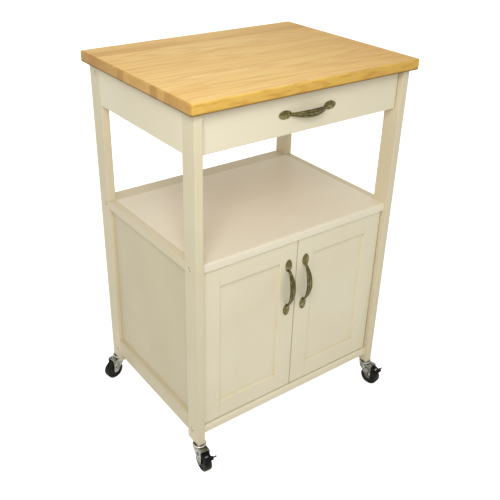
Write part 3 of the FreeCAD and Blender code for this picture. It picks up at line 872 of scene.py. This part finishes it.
@dataclass
class Woodwork:
    """Painted boards with rounded edges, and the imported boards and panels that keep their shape."""

    stock: float = 19 * MM
    stile: float = 48 * MM
    rail: float = 47 * MM
    ease: float = 1.2 * MM
    post_ease: float = 1.6 * MM
    seat_radius: float = 5.6 * MM
    seat_depth: float = 1.4 * MM
    catch: Moulded = Moulded("catch_plastic", tone(226, 224, 214), tone(214, 211, 200))

    def board(
        self,
        node: str,
        shade: Cream,
        grain: Grain,
        boxes: Sequence[Box] = (),
        body: str = "cart_frame",
        ease: float | None = None,
    ) -> Piece:
        """Model the boards of one node with rounded edges and dress them.

        Args:
            node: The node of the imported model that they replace.
            shade: The shade of their paint.
            grain: The run of their grain.
            boxes: Lowest and highest corner of each board, where it isn't one board as large as the node.
            body: The body that they ride on.
            ease: Radius of their edges, where it isn't the usual one.

        Returns:
            The boards as one piece.
        """
        pieces = [eased(block("board", low, high), ease or self.ease) for low, high in boxes or [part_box(node)]]
        whole = smoothed(joined(node + "_eased", pieces))
        dressed(whole, CreamPaint(shade, grain).material(), "cream_paint", body, node)
        return whole

    @staticmethod
    def pair(box: Box, axis: int, width: float) -> list[Box]:
        """Boxes of the two boards at the ends of a larger box.

        Args:
            box: Lowest and highest corner of the larger box.
            axis: The axis that they are apart along.
            width: The width of each along it.

        Returns:
            The lower and the upper box.
        """
        low, high = box
        first, second = high.copy(), low.copy()
        first[axis] = low[axis] + width
        second[axis] = high[axis] - width
        return [(low, first), (second, high)]

    def build(self) -> None:
        """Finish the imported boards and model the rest."""
        across, deep, upright = Grain.ACROSS, Grain.DEEP, Grain.UPRIGHT
        for finish, nodes in (
            # The shelf shade paints light on the shelf panel.
            (CreamPaint(Cream.SHELF_IN_PAINTED_LIGHT, across), ["shelf_panel"]),
            (CreamPaint(Cream.BOARD, across), ["floor_board"]),
            (CreamPaint(Cream.BOARD, upright), ["back_panel", "door_left_panel", "door_right_panel"]),
            # The panel shade paints shade on the side panels.
            (CreamPaint(Cream.PANEL, upright), ["side_panel_left", "side_panel_right"]),
            (BareWood(across), ["drawer_back", "drawer_bottom"]),
            (BareWood(deep), ["drawer_sides", "drawer_runners", "worktop_cleats"]),
            (self.catch, ["door_catches"]),
        ):
            for node in nodes:
                painted(node, finish.material())
        self.board("back_apron", Cream.BOARD, across)
        self.board("bottom_rail_back", Cream.BOARD, across)
        # The post shade paints shade on the shelf's rails, and the panel shade on the side bottom rails.
        self.board("shelf_back_rail", Cream.POST, across)
        rails = "shelf_side_rails"
        self.board(rails, Cream.POST, deep, self.pair(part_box(rails), 0, self.stock))
        self.board("drawer_front", Cream.BOARD, across, body="drawer")
        for side in SIDES:
            self.board("side_apron_" + side, Cream.BOARD, deep)
            self.board("bottom_rail_" + side, Cream.PANEL, deep)
            self.door("door_" + side)
        self.posts()

    def posts(self) -> None:
        """Model the posts with rounded corners and a seat under each screw head."""
        seat = sleeve("seat", 0, self.seat_radius, self.seat_depth)
        cutter = joined("seats", [copied(seat, "seat_copy", place) for place in Screws().frame_places()])
        for row, side in CORNERS:
            # The post shade paints shade on the posts.
            post = self.board(f"post_{row}_{side}", Cream.POST, Grain.UPRIGHT, ease=self.post_ease)
            smoothed(cut(post, cutter))
        discarded(seat, cutter)

    def door(self, body: str) -> None:
        """Model a door's stiles and rails.

        Args:
            body: The door's body, whose name its nodes start with.
        """
        low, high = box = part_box(body + "_stiles")
        inner = (Vector((low.x + self.stile, low.y, low.z)), Vector((high.x - self.stile, high.y, high.z)))
        self.board(body + "_stiles", Cream.BOARD, Grain.UPRIGHT, self.pair(box, 0, self.stile), body)
        self.board(body + "_rails", Cream.BOARD, Grain.ACROSS, self.pair(inner, 2, self.rail), body)


@dataclass
class Pull:
    """Arched pull with a fluted grip between two oval pads."""

    span: float = 98 * MM
    reach: float = 25 * MM
    width: float = 18 * MM
    thickness: float = 7.5 * MM
    foot: float = 3.4 * MM
    flutes: int = 8
    flute_radii: Sequence[float] = (1, 0.93, 0.8, 0.93)
    flute_stain: Sequence[float] = (0, 0.3, 1, 0.3)
    stations: int = 48
    end_share: float = 0.3
    taper: float = 0.9
    collar_place: float = 0.9
    collar_width: float = 0.03
    collar_rise: float = 0.12
    length: float = 152 * MM
    pad_length: float = 32 * MM
    pad_width: float = 18.5 * MM
    pad_steps: Steps = ((1.0, 1.6), (0.95, 2.3), (0.84, 2.6), (0.7, 3.5), (0.45, 4.1), (0.2, 4.4))

    def girth(self, station: float) -> float:
        """Share of the full section, with a collar near each end.

        Args:
            station: Place along the grip, from -1 to 1.

        Returns:
            The share.
        """
        away = min(abs(station), 1)
        share = self.end_share + (1 - self.end_share) * math.cos(QUARTER * away) ** self.taper
        return share + self.collar_rise * math.exp(-(((away - self.collar_place) / self.collar_width) ** 2))

    def grip(self) -> Piece:
        """Model the grip: a fluted ring spun along the arc, then drawn in towards its ends.

        Returns:
            The grip.
        """
        half = self.span / 2
        rise = self.reach - self.thickness / 2 - self.foot
        radius = (half**2 + rise**2) / (2 * rise)
        sweep = math.asin(half / radius)
        centre = Vector((0, radius - rise - self.foot, 0))
        count = self.flutes * 4
        points = []
        for step in range(count):
            turn = 2 * math.pi * step / count
            share = self.flute_radii[step % 4]
            outward = -radius - self.thickness / 2 * share * math.cos(turn)
            points.append(centre + Vector((0, outward, self.width / 2 * share * math.sin(turn))))
        grip = ring_of_points("grip", points)
        marked(grip, (self.flute_stain[step % 4] for step in range(count)))
        with editing(grip):
            bpy.ops.transform.rotate(value=-sweep, orient_axis="Z", center_override=centre)
            bpy.ops.mesh.spin(steps=self.stations, angle=2 * sweep, center=centre, axis=(0, 0, 1))
        for vertex in grip.data.vertices:
            away = vertex.co - centre
            turn = math.atan2(away.x, -away.y)
            middle = centre + Vector((math.sin(turn), -math.cos(turn), 0)) * radius
            vertex.co = middle + (vertex.co - middle) * self.girth(turn / sweep)
        with editing(grip):
            bpy.ops.mesh.select_mode(type="EDGE")
            bpy.ops.mesh.select_all(action="DESELECT")
            bpy.ops.mesh.select_non_manifold()
            bpy.ops.mesh.edge_face_add()
            tidy_shell()
        return grip

    def pad(self) -> Piece:
        """Model one oval pad: a rim, a sloping shoulder and a crowned top.

        Returns:
            The pad.
        """
        only()
        bpy.ops.mesh.primitive_circle_add(vertices=40, radius=1, fill_type="NGON", rotation=(QUARTER, 0, 0))
        pad = named("pad")
        with editing(pad):
            bpy.ops.transform.resize(value=(self.pad_length / 2, 1, self.pad_width / 2))
            height = 0.0
            for share, level in self.pad_steps:
                bpy.ops.mesh.extrude_region_move(TRANSFORM_OT_translate={"value": (0, height - level * MM, 0)})
                height = level * MM
                widest = max(vertex.co.x for vertex in bmesh.from_edit_mesh(pad.data).verts if vertex.select)
                factor = share * self.pad_length / 2 / widest
                bpy.ops.transform.resize(value=(factor, 1, factor), center_override=(0, -height, 0))
            tidy_shell()
        return eased(pad, 0.35 * MM, 2, 25)

    def build(self) -> None:
        """Model one pull, copy it to its three places and dress the copies."""
        grip, pad = modified(self.grip(), "SUBSURF", levels=1, render_levels=1), self.pad()
        apart = (self.length - self.pad_length) / 2
        pads = [copied(pad, "pad_side", Matrix.Translation((side * apart, 0, 0))) for side in (-1, 1)]
        model = smoothed(joined("pull_model", [grip, *pads]), 50)
        finish = AgedBrass().material()
        for node, body in PULLS.items():
            low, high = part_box(node)
            place = Matrix.Translation(((low.x + high.x) / 2, high.y, (low.z + high.z) / 2))
            if high.z - low.z > high.x - low.x:
                place = place @ Matrix.Rotation(QUARTER, 4, "Y")
            dressed(copied(model, node + "_fluted", place), finish, "pull_metal", body, node)
        discarded(pad, model)


@dataclass
class Screws:
    """Domed screws with a crossed slot, through the posts and behind the pulls."""

    head_radius: float = 4.2 * MM
    head_height: float = 2.6 * MM
    dome: float = 0.7 * MM
    dome_shares: Steps = ((0, 1), (0.45, 0.85), (0.8, 0.45), (1, 0))
    rim: float = 0.8 * MM
    shank_radius: float = 2.0 * MM
    frame_shank: float = 50 * MM
    pull_shank: float = 20 * MM
    slot_length: float = 4.6 * MM
    slot_width: float = 0.9 * MM
    slot_depth: float = 1.3 * MM
    inset: float = 27 * MM
    top_drop: float = 21.5 * MM
    steel: PlatedSteel = PlatedSteel("screw_steel", tone(214, 206, 180), tone(180, 172, 146), 0.3)

    def model(self, shank: float) -> Piece:
        """Model one screw along Z with the face of its head at the origin.

        Args:
            shank: Length of the shank below the head.

        Returns:
            The screw.
        """
        head, thin = self.head_radius, self.shank_radius
        profile = [(head * out, self.dome * up) for out, up in self.dome_shares]
        profile += [(head, -self.rim), (thin, -self.head_height), (thin, -shank), (0, -shank - thin)]
        screw = turned("screw", profile, 32)
        reach = Vector((self.slot_length / 2, self.slot_width / 2, self.slot_depth))
        for turn in (0, QUARTER):
            cutter = block("cutter", -reach, reach)
            cutter.rotation_euler = (0, 0, turn + math.pi / 4)
            cut(screw, cutter)
            discarded(cutter)
        # Painted shade: the head's rim and everything under the head are darkened.
        return stained_and_shaded(smoothed(screw), lambda place: place.xy.length > head * 0.9 or place.z < -TINY)

    def frame_places(self) -> list[Matrix]:
        """Places of the screws through the posts.

        Returns:
            The places, with +Z out of each head.
        """
        places = []
        levels = [sum(corner.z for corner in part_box(node)) / 2 for node in ("shelf_panel", "floor_board")]
        for row, side in CORNERS:
            low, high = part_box(f"post_{row}_{side}")
            x, sign = (low.x, -1) if side == "left" else (high.x, 1)
            y = low.y + self.inset if row == "front" else high.y - self.inset
            out = Matrix.Rotation(sign * QUARTER, 4, "Y")
            for z in levels + ([high.z - self.top_drop] if row == "back" else []):
                places.append(Matrix.Translation((x - sign * self.dome, y, z)) @ out)
        return places

    def pull_places(self, node: str) -> list[Matrix]:
        """Places of the two screws behind a pull.

        Args:
            node: The screws' node.

        Returns:
            The places, with +Z to the back.
        """
        low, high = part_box(node)
        middle = (low + high) / 2
        if high.x - low.x > high.z - low.z:
            ends = [(low.x + self.head_radius, middle.z), (high.x - self.head_radius, middle.z)]
        else:
            ends = [(middle.x, low.z + self.head_radius), (middle.x, high.z - self.head_radius)]
        out = Matrix.Rotation(-QUARTER, 4, "X")
        return [Matrix.Translation((x, high.y - self.dome, z)) @ out for x, z in ends]

    def build(self) -> None:
        """Model both lengths of screw, copy them to their places and dress the groups."""
        finish = self.steel.material()
        long_screw, short_screw = self.model(self.frame_shank), self.model(self.pull_shank)
        groups = [("frame_screws", "cart_frame", long_screw, self.frame_places())]
        for pull, body in PULLS.items():
            node = pull + "_screws"
            groups.append((node, body, short_screw, self.pull_places(node)))
        for node, body, model, places in groups:
            copies = [copied(model, "screw_copy", place) for place in places]
            dressed(joined(node + "_slotted", copies), finish, "fastener_steel", body, node)
        discarded(long_screw, short_screw)
        for side in SIDES:
            painted(f"door_{side}_pivot_pins", finish)


@dataclass
class Casters:
    """Four swivel casters, modelled trailing to -Y round the stem's axis and turned to their places.

    Steps are the corners of a turned profile in mm, from the radius and the level of the edge that they shape.
    """

    height: float = 65 * MM
    trail: float = 21 * MM
    wheel_radius: float = 25 * MM
    wheel_width: float = 19 * MM
    tread_steps: Steps = ((-7.5, -2), (-6.4, -0.2), (-5.4, 0), (-2.8, 0), (-1.4, -0.5), (-0.4, -1.6), (0, -3.4))
    hub_radius: float = 8 * MM
    hub_play: float = 0.4 * MM
    hub_steps: Steps = ((-0.6, 0), (0, -0.6), (0.5, -2.4))
    bore: float = 3.06 * MM
    race_radius: float = 16.5 * MM
    race_height: float = 4 * MM
    race_gap: float = 0.6 * MM
    race_steps: Steps = ((-4.2, 0), (-3, 0), (-1.6, 0), (-0.4, -0.7), (0, -1.7))
    race_lip: float = 1.2 * MM
    dish_radius: float = 16 * MM
    dish_height: float = 3.4 * MM
    dish_steps: Steps = ((-0.7, 0), (0, -0.8), (0, -2), (-0.9, -2.6))
    dish_slope: float = 1.6 * MM
    pin_radius: float = 5 * MM
    pin_play: float = 0.08 * MM
    stem_radius: float = 4 * MM
    stem_length: float = 27 * MM
    leg_inner: float = 10.8 * MM
    sheet: float = 2 * MM
    bend: float = 3.2 * MM
    eye_radius: float = 6.5 * MM
    rear: float = 9 * MM
    shoulder: float = 9 * MM
    rivet_steps: Steps = ((3, 0), (4.2, 0), (4.1, 0.7), (3.1, 1.53), (1.7, 1.8), (1.3, 1.2), (0, 1.2))
    ring_steps: Steps = ((2.8, 0), (3.2, 0.45), (4.4, 0.45), (5, 0))
    ring_place: Pair = (-13.2 * MM, 46 * MM)
    slot_corners: tuple[Triple, Triple] = ((-3.2, -1.2, -0.1), (3.2, 1.2, 0.25))
    slot_place: Pair = (-20.4 * MM, 36 * MM)
    brake_radius: float = 28 * MM
    brake_band: float = 2.2 * MM
    brake_half: float = 9.6 * MM
    brake_pin: float = 1.5 * MM
    boss_radii: Pair = (1.56 * MM, 2.8 * MM)
    shoe_turns: Pair = (0, 54)
    pedal_turns: Pair = (36, 54)
    pedal_thickness: float = 4.6 * MM
    pedal_reach: float = 13 * MM
    tab_turn: float = 45
    tab_reach: float = 22.8 * MM
    tab_half: float = 2 * MM
    tab_thickness: float = 1.2 * MM
    tab_corner: float = 1.8 * MM
    clip_sides: Pair = (-6 * MM, 3 * MM)
    clip_turns: Pair = (29, 35)
    clip_thickness: float = 0.7 * MM

    @property
    def hood_top(self) -> float:
        """Height of the upper face of the fork."""
        return self.height - self.race_height - self.race_gap

    @property
    def free_edge(self) -> float:
        """Place of the fork's free edge over the wheel."""
        return -self.trail - self.eye_radius

    @property
    def brake_level(self) -> float:
        """Height of the brake's pin."""
        return self.wheel_radius + self.brake_radius + self.brake_band / 2

    def across(self, piece: Piece, height: float) -> Piece:
        """Lay a piece turned round Z along the axle's line at a height above the floor."""
        return moved(piece, Matrix.Translation((0, -self.trail, height)) @ Matrix.Rotation(QUARTER, 4, "Y"))

    def round_wheel(self, x: float, radius: float, turn: float) -> Vector:
        """Place at a turn in degrees from the wheel's top towards its free side."""
        angle = math.radians(turn)
        return Vector((x, -self.trail - radius * math.sin(angle), self.wheel_radius + radius * math.cos(angle)))

    def stem(self) -> Piece:
        """Model the upper race with its king pin below and its stem above.

        Returns:
            The piece.
        """
        top, bottom = self.height + self.stem_length, self.height - self.race_height
        pin_end = self.hood_top - self.dish_height + 0.3 * MM
        profile = [(0, top), (self.stem_radius, top), (self.stem_radius, self.height)]
        profile += shifted(self.race_steps, self.race_radius, self.height)
        profile += [(self.race_radius, bottom), (self.race_radius - self.race_lip, bottom)]
        profile += [(self.pin_radius, bottom), (self.pin_radius, pin_end), (0, pin_end)]
        piece = smoothed(eased(turned("stem", profile), 0.25 * MM, 2, 30))
        # Painted shade: the race's lower rim and its top round the stem, under the post, are darkened.
        middle = self.race_radius - 3.6 * MM
        return stained_and_shaded(piece, lambda place: place.z < bottom + 0.6 * MM or place.xy.length < middle)

    def dish(self) -> Piece:
        """Model the lower race: a pressed dish with a rolled edge and a bore for the king pin.

        Returns:
            The piece.
        """
        bore = self.pin_radius + self.pin_play
        top, bottom = self.hood_top, self.hood_top - self.dish_height
        profile = [(bore, top), *shifted(self.dish_steps, self.dish_radius, top)]
        profile += [(self.dish_radius - self.dish_slope, bottom), (bore, bottom)]
        piece = eased(turned("dish", profile), 0.2 * MM, 2, 25)
        # Painted shade: the dish's lower band and its top edge under the race are darkened.
        return stained_and_shaded(piece, lambda place: place.z < bottom + 1.2 * MM or place.z > top - 0.4 * MM)

    def channel(self) -> Piece:
        """Model the fork's folded sheet: a channel with rounded bends, cut along its sides to two tapering legs.

        Returns:
            The piece.
        """
        outer, top = self.leg_inner + self.sheet, self.hood_top
        low = self.wheel_radius - 2 * self.eye_radius
        centre = (outer - self.bend, top - self.bend)
        right = [*arc(centre, self.bend - self.sheet, 90, 0), (self.leg_inner, low), (outer, low)]
        right += arc(centre, self.bend, 0, 90)
        section = [(-x, z) for x, z in reversed(right)] + right
        outline = [Vector((x, self.free_edge, z)) for x, z in section]
        channel = plate("channel", outline, Vector((0, self.rear - self.free_edge, 0)))
        cutter = plate("cutter", self.side_outline(-2 * outer), Vector((4 * outer, 0, 0)))
        reach = self.pin_radius + self.pin_play
        hole = turned("hole", [(0, 0), (reach, 0), (reach, 2 * top), (0, 2 * top)])
        cut(cut(channel, cutter, "INTERSECT"), hole)
        discarded(cutter, hole)
        return eased(channel, 0.35 * MM, 2, 50)

    def side_outline(self, x: float) -> list[Vector]:
        """Outline of a leg from the side: upright along its free edge, slanting to the round eye at its rear.

        Args:
            x: Where the outline lies along the axle.

        Returns:
            Its corners.
        """
        eye = (-self.trail, self.wheel_radius)
        shoulder = (self.rear, self.hood_top - self.shoulder)
        away = (shoulder[0] - eye[0], shoulder[1] - eye[1])
        touch = math.degrees(math.atan2(away[1], away[0]) - math.acos(self.eye_radius / math.hypot(*away)))
        edge, top = self.free_edge - MM, 2 * self.hood_top
        points = [(edge, top), (self.rear, top), shoulder, *arc(eye, self.eye_radius, touch, -180)]
        return [Vector((x, y, z)) for y, z in [*points, (edge, self.wheel_radius + MM)]]

    def leg_marks(self) -> list[Piece]:
        """Model the pressed ring on each leg and a thin block above its eye for the slot, both darkened as painted
        shade.

        Returns:
            The marks on both legs.
        """
        # Painted shade: the pressed ring is darkened, and the slot is a thin block darkened fully.
        ring = stained_and_shaded(turned("ring", shifted(self.ring_steps), 32), lambda place: 0.6)
        slot = block("slot", *(Vector(corner) * MM for corner in self.slot_corners))
        stained_and_shaded(eased(slot, 0.2 * MM, 2), lambda place: 1)
        marks = []
        for side in (-1, 1):
            face, out = side * (self.leg_inner + self.sheet), Matrix.Rotation(side * QUARTER, 4, "Y")
            for mark, place in ((ring, self.ring_place), (slot, self.slot_place)):
                marks.append(copied(mark, "leg_mark", Matrix.Translation((face, *place)) @ out))
        discarded(ring, slot)
        return marks

    def fork(self, braked: bool) -> Piece:
        """Model the fork: the dish on its folded channel.

        Args:
            braked: Whether it holds the brake's pin.

        Returns:
            The piece.
        """
        parts = [self.dish(), self.channel(), *self.leg_marks()]
        if braked:
            pin = sleeve("pin", 0, self.brake_pin, self.leg_inner + 0.4 * MM, 24)
            parts.append(self.across(pin, self.brake_level))
        return smoothed(joined("fork", parts))

    def axle(self) -> Piece:
        """Model the axle with a domed rivet head outside each leg."""
        upper = shifted(self.rivet_steps, 0, self.leg_inner + self.sheet)
        return smoothed(self.across(turned("axle", flipped(upper) + upper, 32), self.wheel_radius))

    def wheel(self) -> Piece:
        """Model the wheel: a tread with round shoulders, recessed sides and a hub.

        Returns:
            The piece.
        """
        half = self.wheel_width / 2
        hub = half + self.hub_play
        side = [(self.bore, hub), *shifted(self.hub_steps, self.hub_radius, hub)]
        side += shifted(self.tread_steps, self.wheel_radius, half)
        piece = eased(turned("wheel", side + flipped(side), 96), 0.25 * MM, 2, 35)
        return smoothed(self.across(piece, self.wheel_radius), 30)

    def band(self, sides: Pair, thickness: float, turns: Pair) -> Piece:
        """Piece of a ring round the wheel, for the brake.

        Args:
            sides: Its two places along the axle.
            thickness: How thick it is outwards from the brake's radius.
            turns: Where it starts and ends, in degrees from the wheel's top.

        Returns:
            The piece.
        """
        run = spread(*turns, 14)
        outline = [self.round_wheel(sides[0], self.brake_radius + thickness, turn) for turn in run]
        outline += [self.round_wheel(sides[0], self.brake_radius, turn) for turn in reversed(run)]
        return plate("band", outline, Vector((sides[1] - sides[0], 0, 0)))

    def brake(self) -> Piece:
        """Model the brake's black lever: its curved shoe, its pedal and the boss round its pin.

        Returns:
            The piece.
        """
        half = self.brake_half
        shoe = eased(self.band((-half, half), self.brake_band, self.shoe_turns), 0.4 * MM, 2)
        pedal = eased(self.band((-half, self.pedal_reach), self.pedal_thickness, self.pedal_turns), 1.1 * MM)
        boss = self.across(sleeve("boss", *self.boss_radii, half), self.brake_level)
        return smoothed(joined("brake_lever", [shoe, pedal, boss]))

    def tab(self) -> Piece:
        """Model the thin steel tab and clip on the brake's lever.

        Returns:
            The piece.
        """
        root = self.round_wheel(self.brake_half, self.brake_radius + self.pedal_thickness / 2, self.tab_turn)
        high = Vector((self.tab_reach, root.y + self.tab_half, root.z + self.tab_thickness))
        tab = block("tab", root - Vector((0, self.tab_half, 0)), high)
        with editing(tab):
            pick(tab, lambda middle, way: abs(way.z) > STRAIGHT and middle.x > self.tab_reach - TINY)
            bpy.ops.mesh.bevel(offset=self.tab_corner, segments=5)
        clip = self.band(self.clip_sides, self.brake_band + self.clip_thickness, self.clip_turns)
        for part in (tab, clip):
            eased(part, 0.3 * MM, 2)
        return smoothed(joined("brake_steel", [stained_and_shaded(tab, lambda place: 0.85), clip]))

    def build(self) -> None:
        """Model each piece once, then copy it to the casters and dress it."""
        steel = PlatedSteel("caster_zinc", tone(168, 168, 158), tone(86, 86, 76), 0.3).material()
        bright = PlatedSteel("race_zinc", tone(212, 212, 204), tone(160, 160, 152), 0.22).material()
        rubber = Moulded("wheel_rubber", tone(9, 9, 8), tone(66, 63, 50), 0.5).material()
        black = Moulded("brake_plastic", tone(8, 8, 8), tone(20, 20, 18)).material()
        stem, axle, wheel, lever, tab = self.stem(), self.axle(), self.wheel(), self.brake(), self.tab()
        forks = {"front": self.fork(braked=True), "back": self.fork(braked=False)}
        axes = {joint["name"]: joint["axis"] for joint in frame["joints"]}
        for row, side in CORNERS:
            name = f"caster_{row}_{side}"
            low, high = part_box(name + "_stem")
            along = axes[name + "_roll"]
            turn = Matrix.Rotation(math.atan2(along[1], along[0]), 4, "Z")
            place = Matrix.Translation(((low.x + high.x) / 2, (low.y + high.y) / 2, 0)) @ turn
            swivel, roll, foot = name + "_swivel", name + "_wheel", name + "_brake"
            dressed(copied(stem, name + "_race", place), bright, "caster_steel", "cart_frame", name + "_stem")
            dressed(copied(forks[row], name + "_legs", place), steel, "caster_steel", swivel, name + "_fork")
            dressed(copied(axle, name + "_rivets", place), steel, "caster_steel", swivel, name + "_axle")
            dressed(copied(wheel, name + "_tyre", place), rubber, "wheel_black", roll, roll)
            if row == "front":
                dressed(copied(lever, name + "_shoe", place), black, "brake_black", foot, foot)
                dressed(copied(tab, name + "_tab", place), steel, "caster_steel", foot)
        discarded(stem, axle, wheel, lever, tab, *forks.values())


@dataclass(frozen=True)
class Lamp:
    """Soft square lamp that looks at a height on the cart's axis."""

    name: str
    place: Triple
    size: float
    power: float
    aim: float

    def hang(self) -> None:
        """Add the lamp to the scene, out of the camera's sight."""
        data = bpy.data.lights.new(self.name, "AREA")
        data.size, data.energy = self.size, self.power
        lamp = bpy.data.objects.new(self.name, data)
        lamp.location = self.place
        lamp.visible_camera = False
        lamp.rotation_euler = (Vector((0, 0, self.aim)) - Vector(self.place)).to_track_quat("-Z", "Y").to_euler()
        bpy.context.scene.collection.objects.link(lamp)


@dataclass
class Studio:
    """Pale floor, soft lamps and the camera at the photograph's place, measured from the worktop's middle."""

    camera_place: Vector = Vector((-936.81, -1242.82, 1291.19)) * MM
    camera_turn: Euler = Euler((math.radians(61.0089), math.radians(-1.0565), math.radians(-35.9497)), "XYZ")
    lens: float = 50.654
    sensor: float = 36
    shift: Pair = (0.02046, -0.01624)
    floor_size: float = 40.0
    floor_colour: Triple = (0.82, 0.82, 0.82)
    floor_glow: float = 0.82
    sky: float = 0.62
    sky_colour: Triple = (1, 0.985, 0.91)
    white: Triple = (1, 1, 1)
    lamps: tuple[Lamp, ...] = (
        Lamp("key_lamp", (-0.76, -0.88, 1.45), size=0.5, power=8, aim=0.8),
        Lamp("front_lamp", (-0.3, -2.0, 1.0), size=1.0, power=0.8, aim=0.6),
    )

    def camera(self) -> None:
        """Set the camera."""
        low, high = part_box("worktop")
        data = bpy.data.cameras.new("photo_camera")
        data.lens, data.sensor_width = self.lens, self.sensor
        data.shift_x, data.shift_y = self.shift
        seen = bpy.data.objects.new("photo_camera", data)
        seen.location = self.camera_place + Vector(((low.x + high.x) / 2, (low.y + high.y) / 2, 0))
        seen.rotation_euler = self.camera_turn
        bpy.context.scene.collection.objects.link(seen)
        bpy.context.scene.camera = seen

    def surroundings(self) -> None:
        """Light the scene evenly, and show plain white behind the cart and in what reflects."""
        graph = Graph("studio", world=True)
        bpy.context.scene.world = graph.owner
        sky, white = (
            graph.node("ShaderNodeBackground", sockets={"Color": colour, "Strength": strength})
            for colour, strength in ((self.sky_colour, self.sky), (self.white, 1))
        )
        seen = graph.seen_by("Camera", "Glossy", "Transmission")
        graph.ended("World Output", "ShaderNodeMixShader", seen, sky, white)

    def floor(self) -> None:
        """Lay a white floor that keeps the cart's soft shadow."""
        only()
        bpy.ops.mesh.primitive_plane_add(size=self.floor_size)
        floor = named("studio_floor")
        graph = Graph("studio_white")
        graph.nodes.remove(graph.nodes["Principled BSDF"])
        matt = graph.node("ShaderNodeBsdfDiffuse", sockets={"Color": self.floor_colour})
        seen = graph.seen_by("Camera", "Glossy")
        glow = graph.node("ShaderNodeEmission", sockets={"Strength": seen * self.floor_glow})
        graph.ended("Material Output", "ShaderNodeAddShader", matt, glow)
        floor.data.materials.append(graph.owner)

    def build(self) -> None:
        """Set the stage, the lamps and the camera."""
        self.surroundings()
        self.floor()
        for lamp in self.lamps:
            lamp.hang()
        self.camera()
        bpy.context.scene.view_settings.view_transform = "Standard"


def main() -> None:
    """Build the cart's looks in order."""
    logging.basicConfig(level=logging.INFO, format="%(name)s: %(message)s")
    for group in (Worktop(), Woodwork(), Pull(), Screws(), Casters(), Studio()):
        LOG.info("building %s", type(group).__name__)
        group.build()


if __name__ == "__main__":
    main()
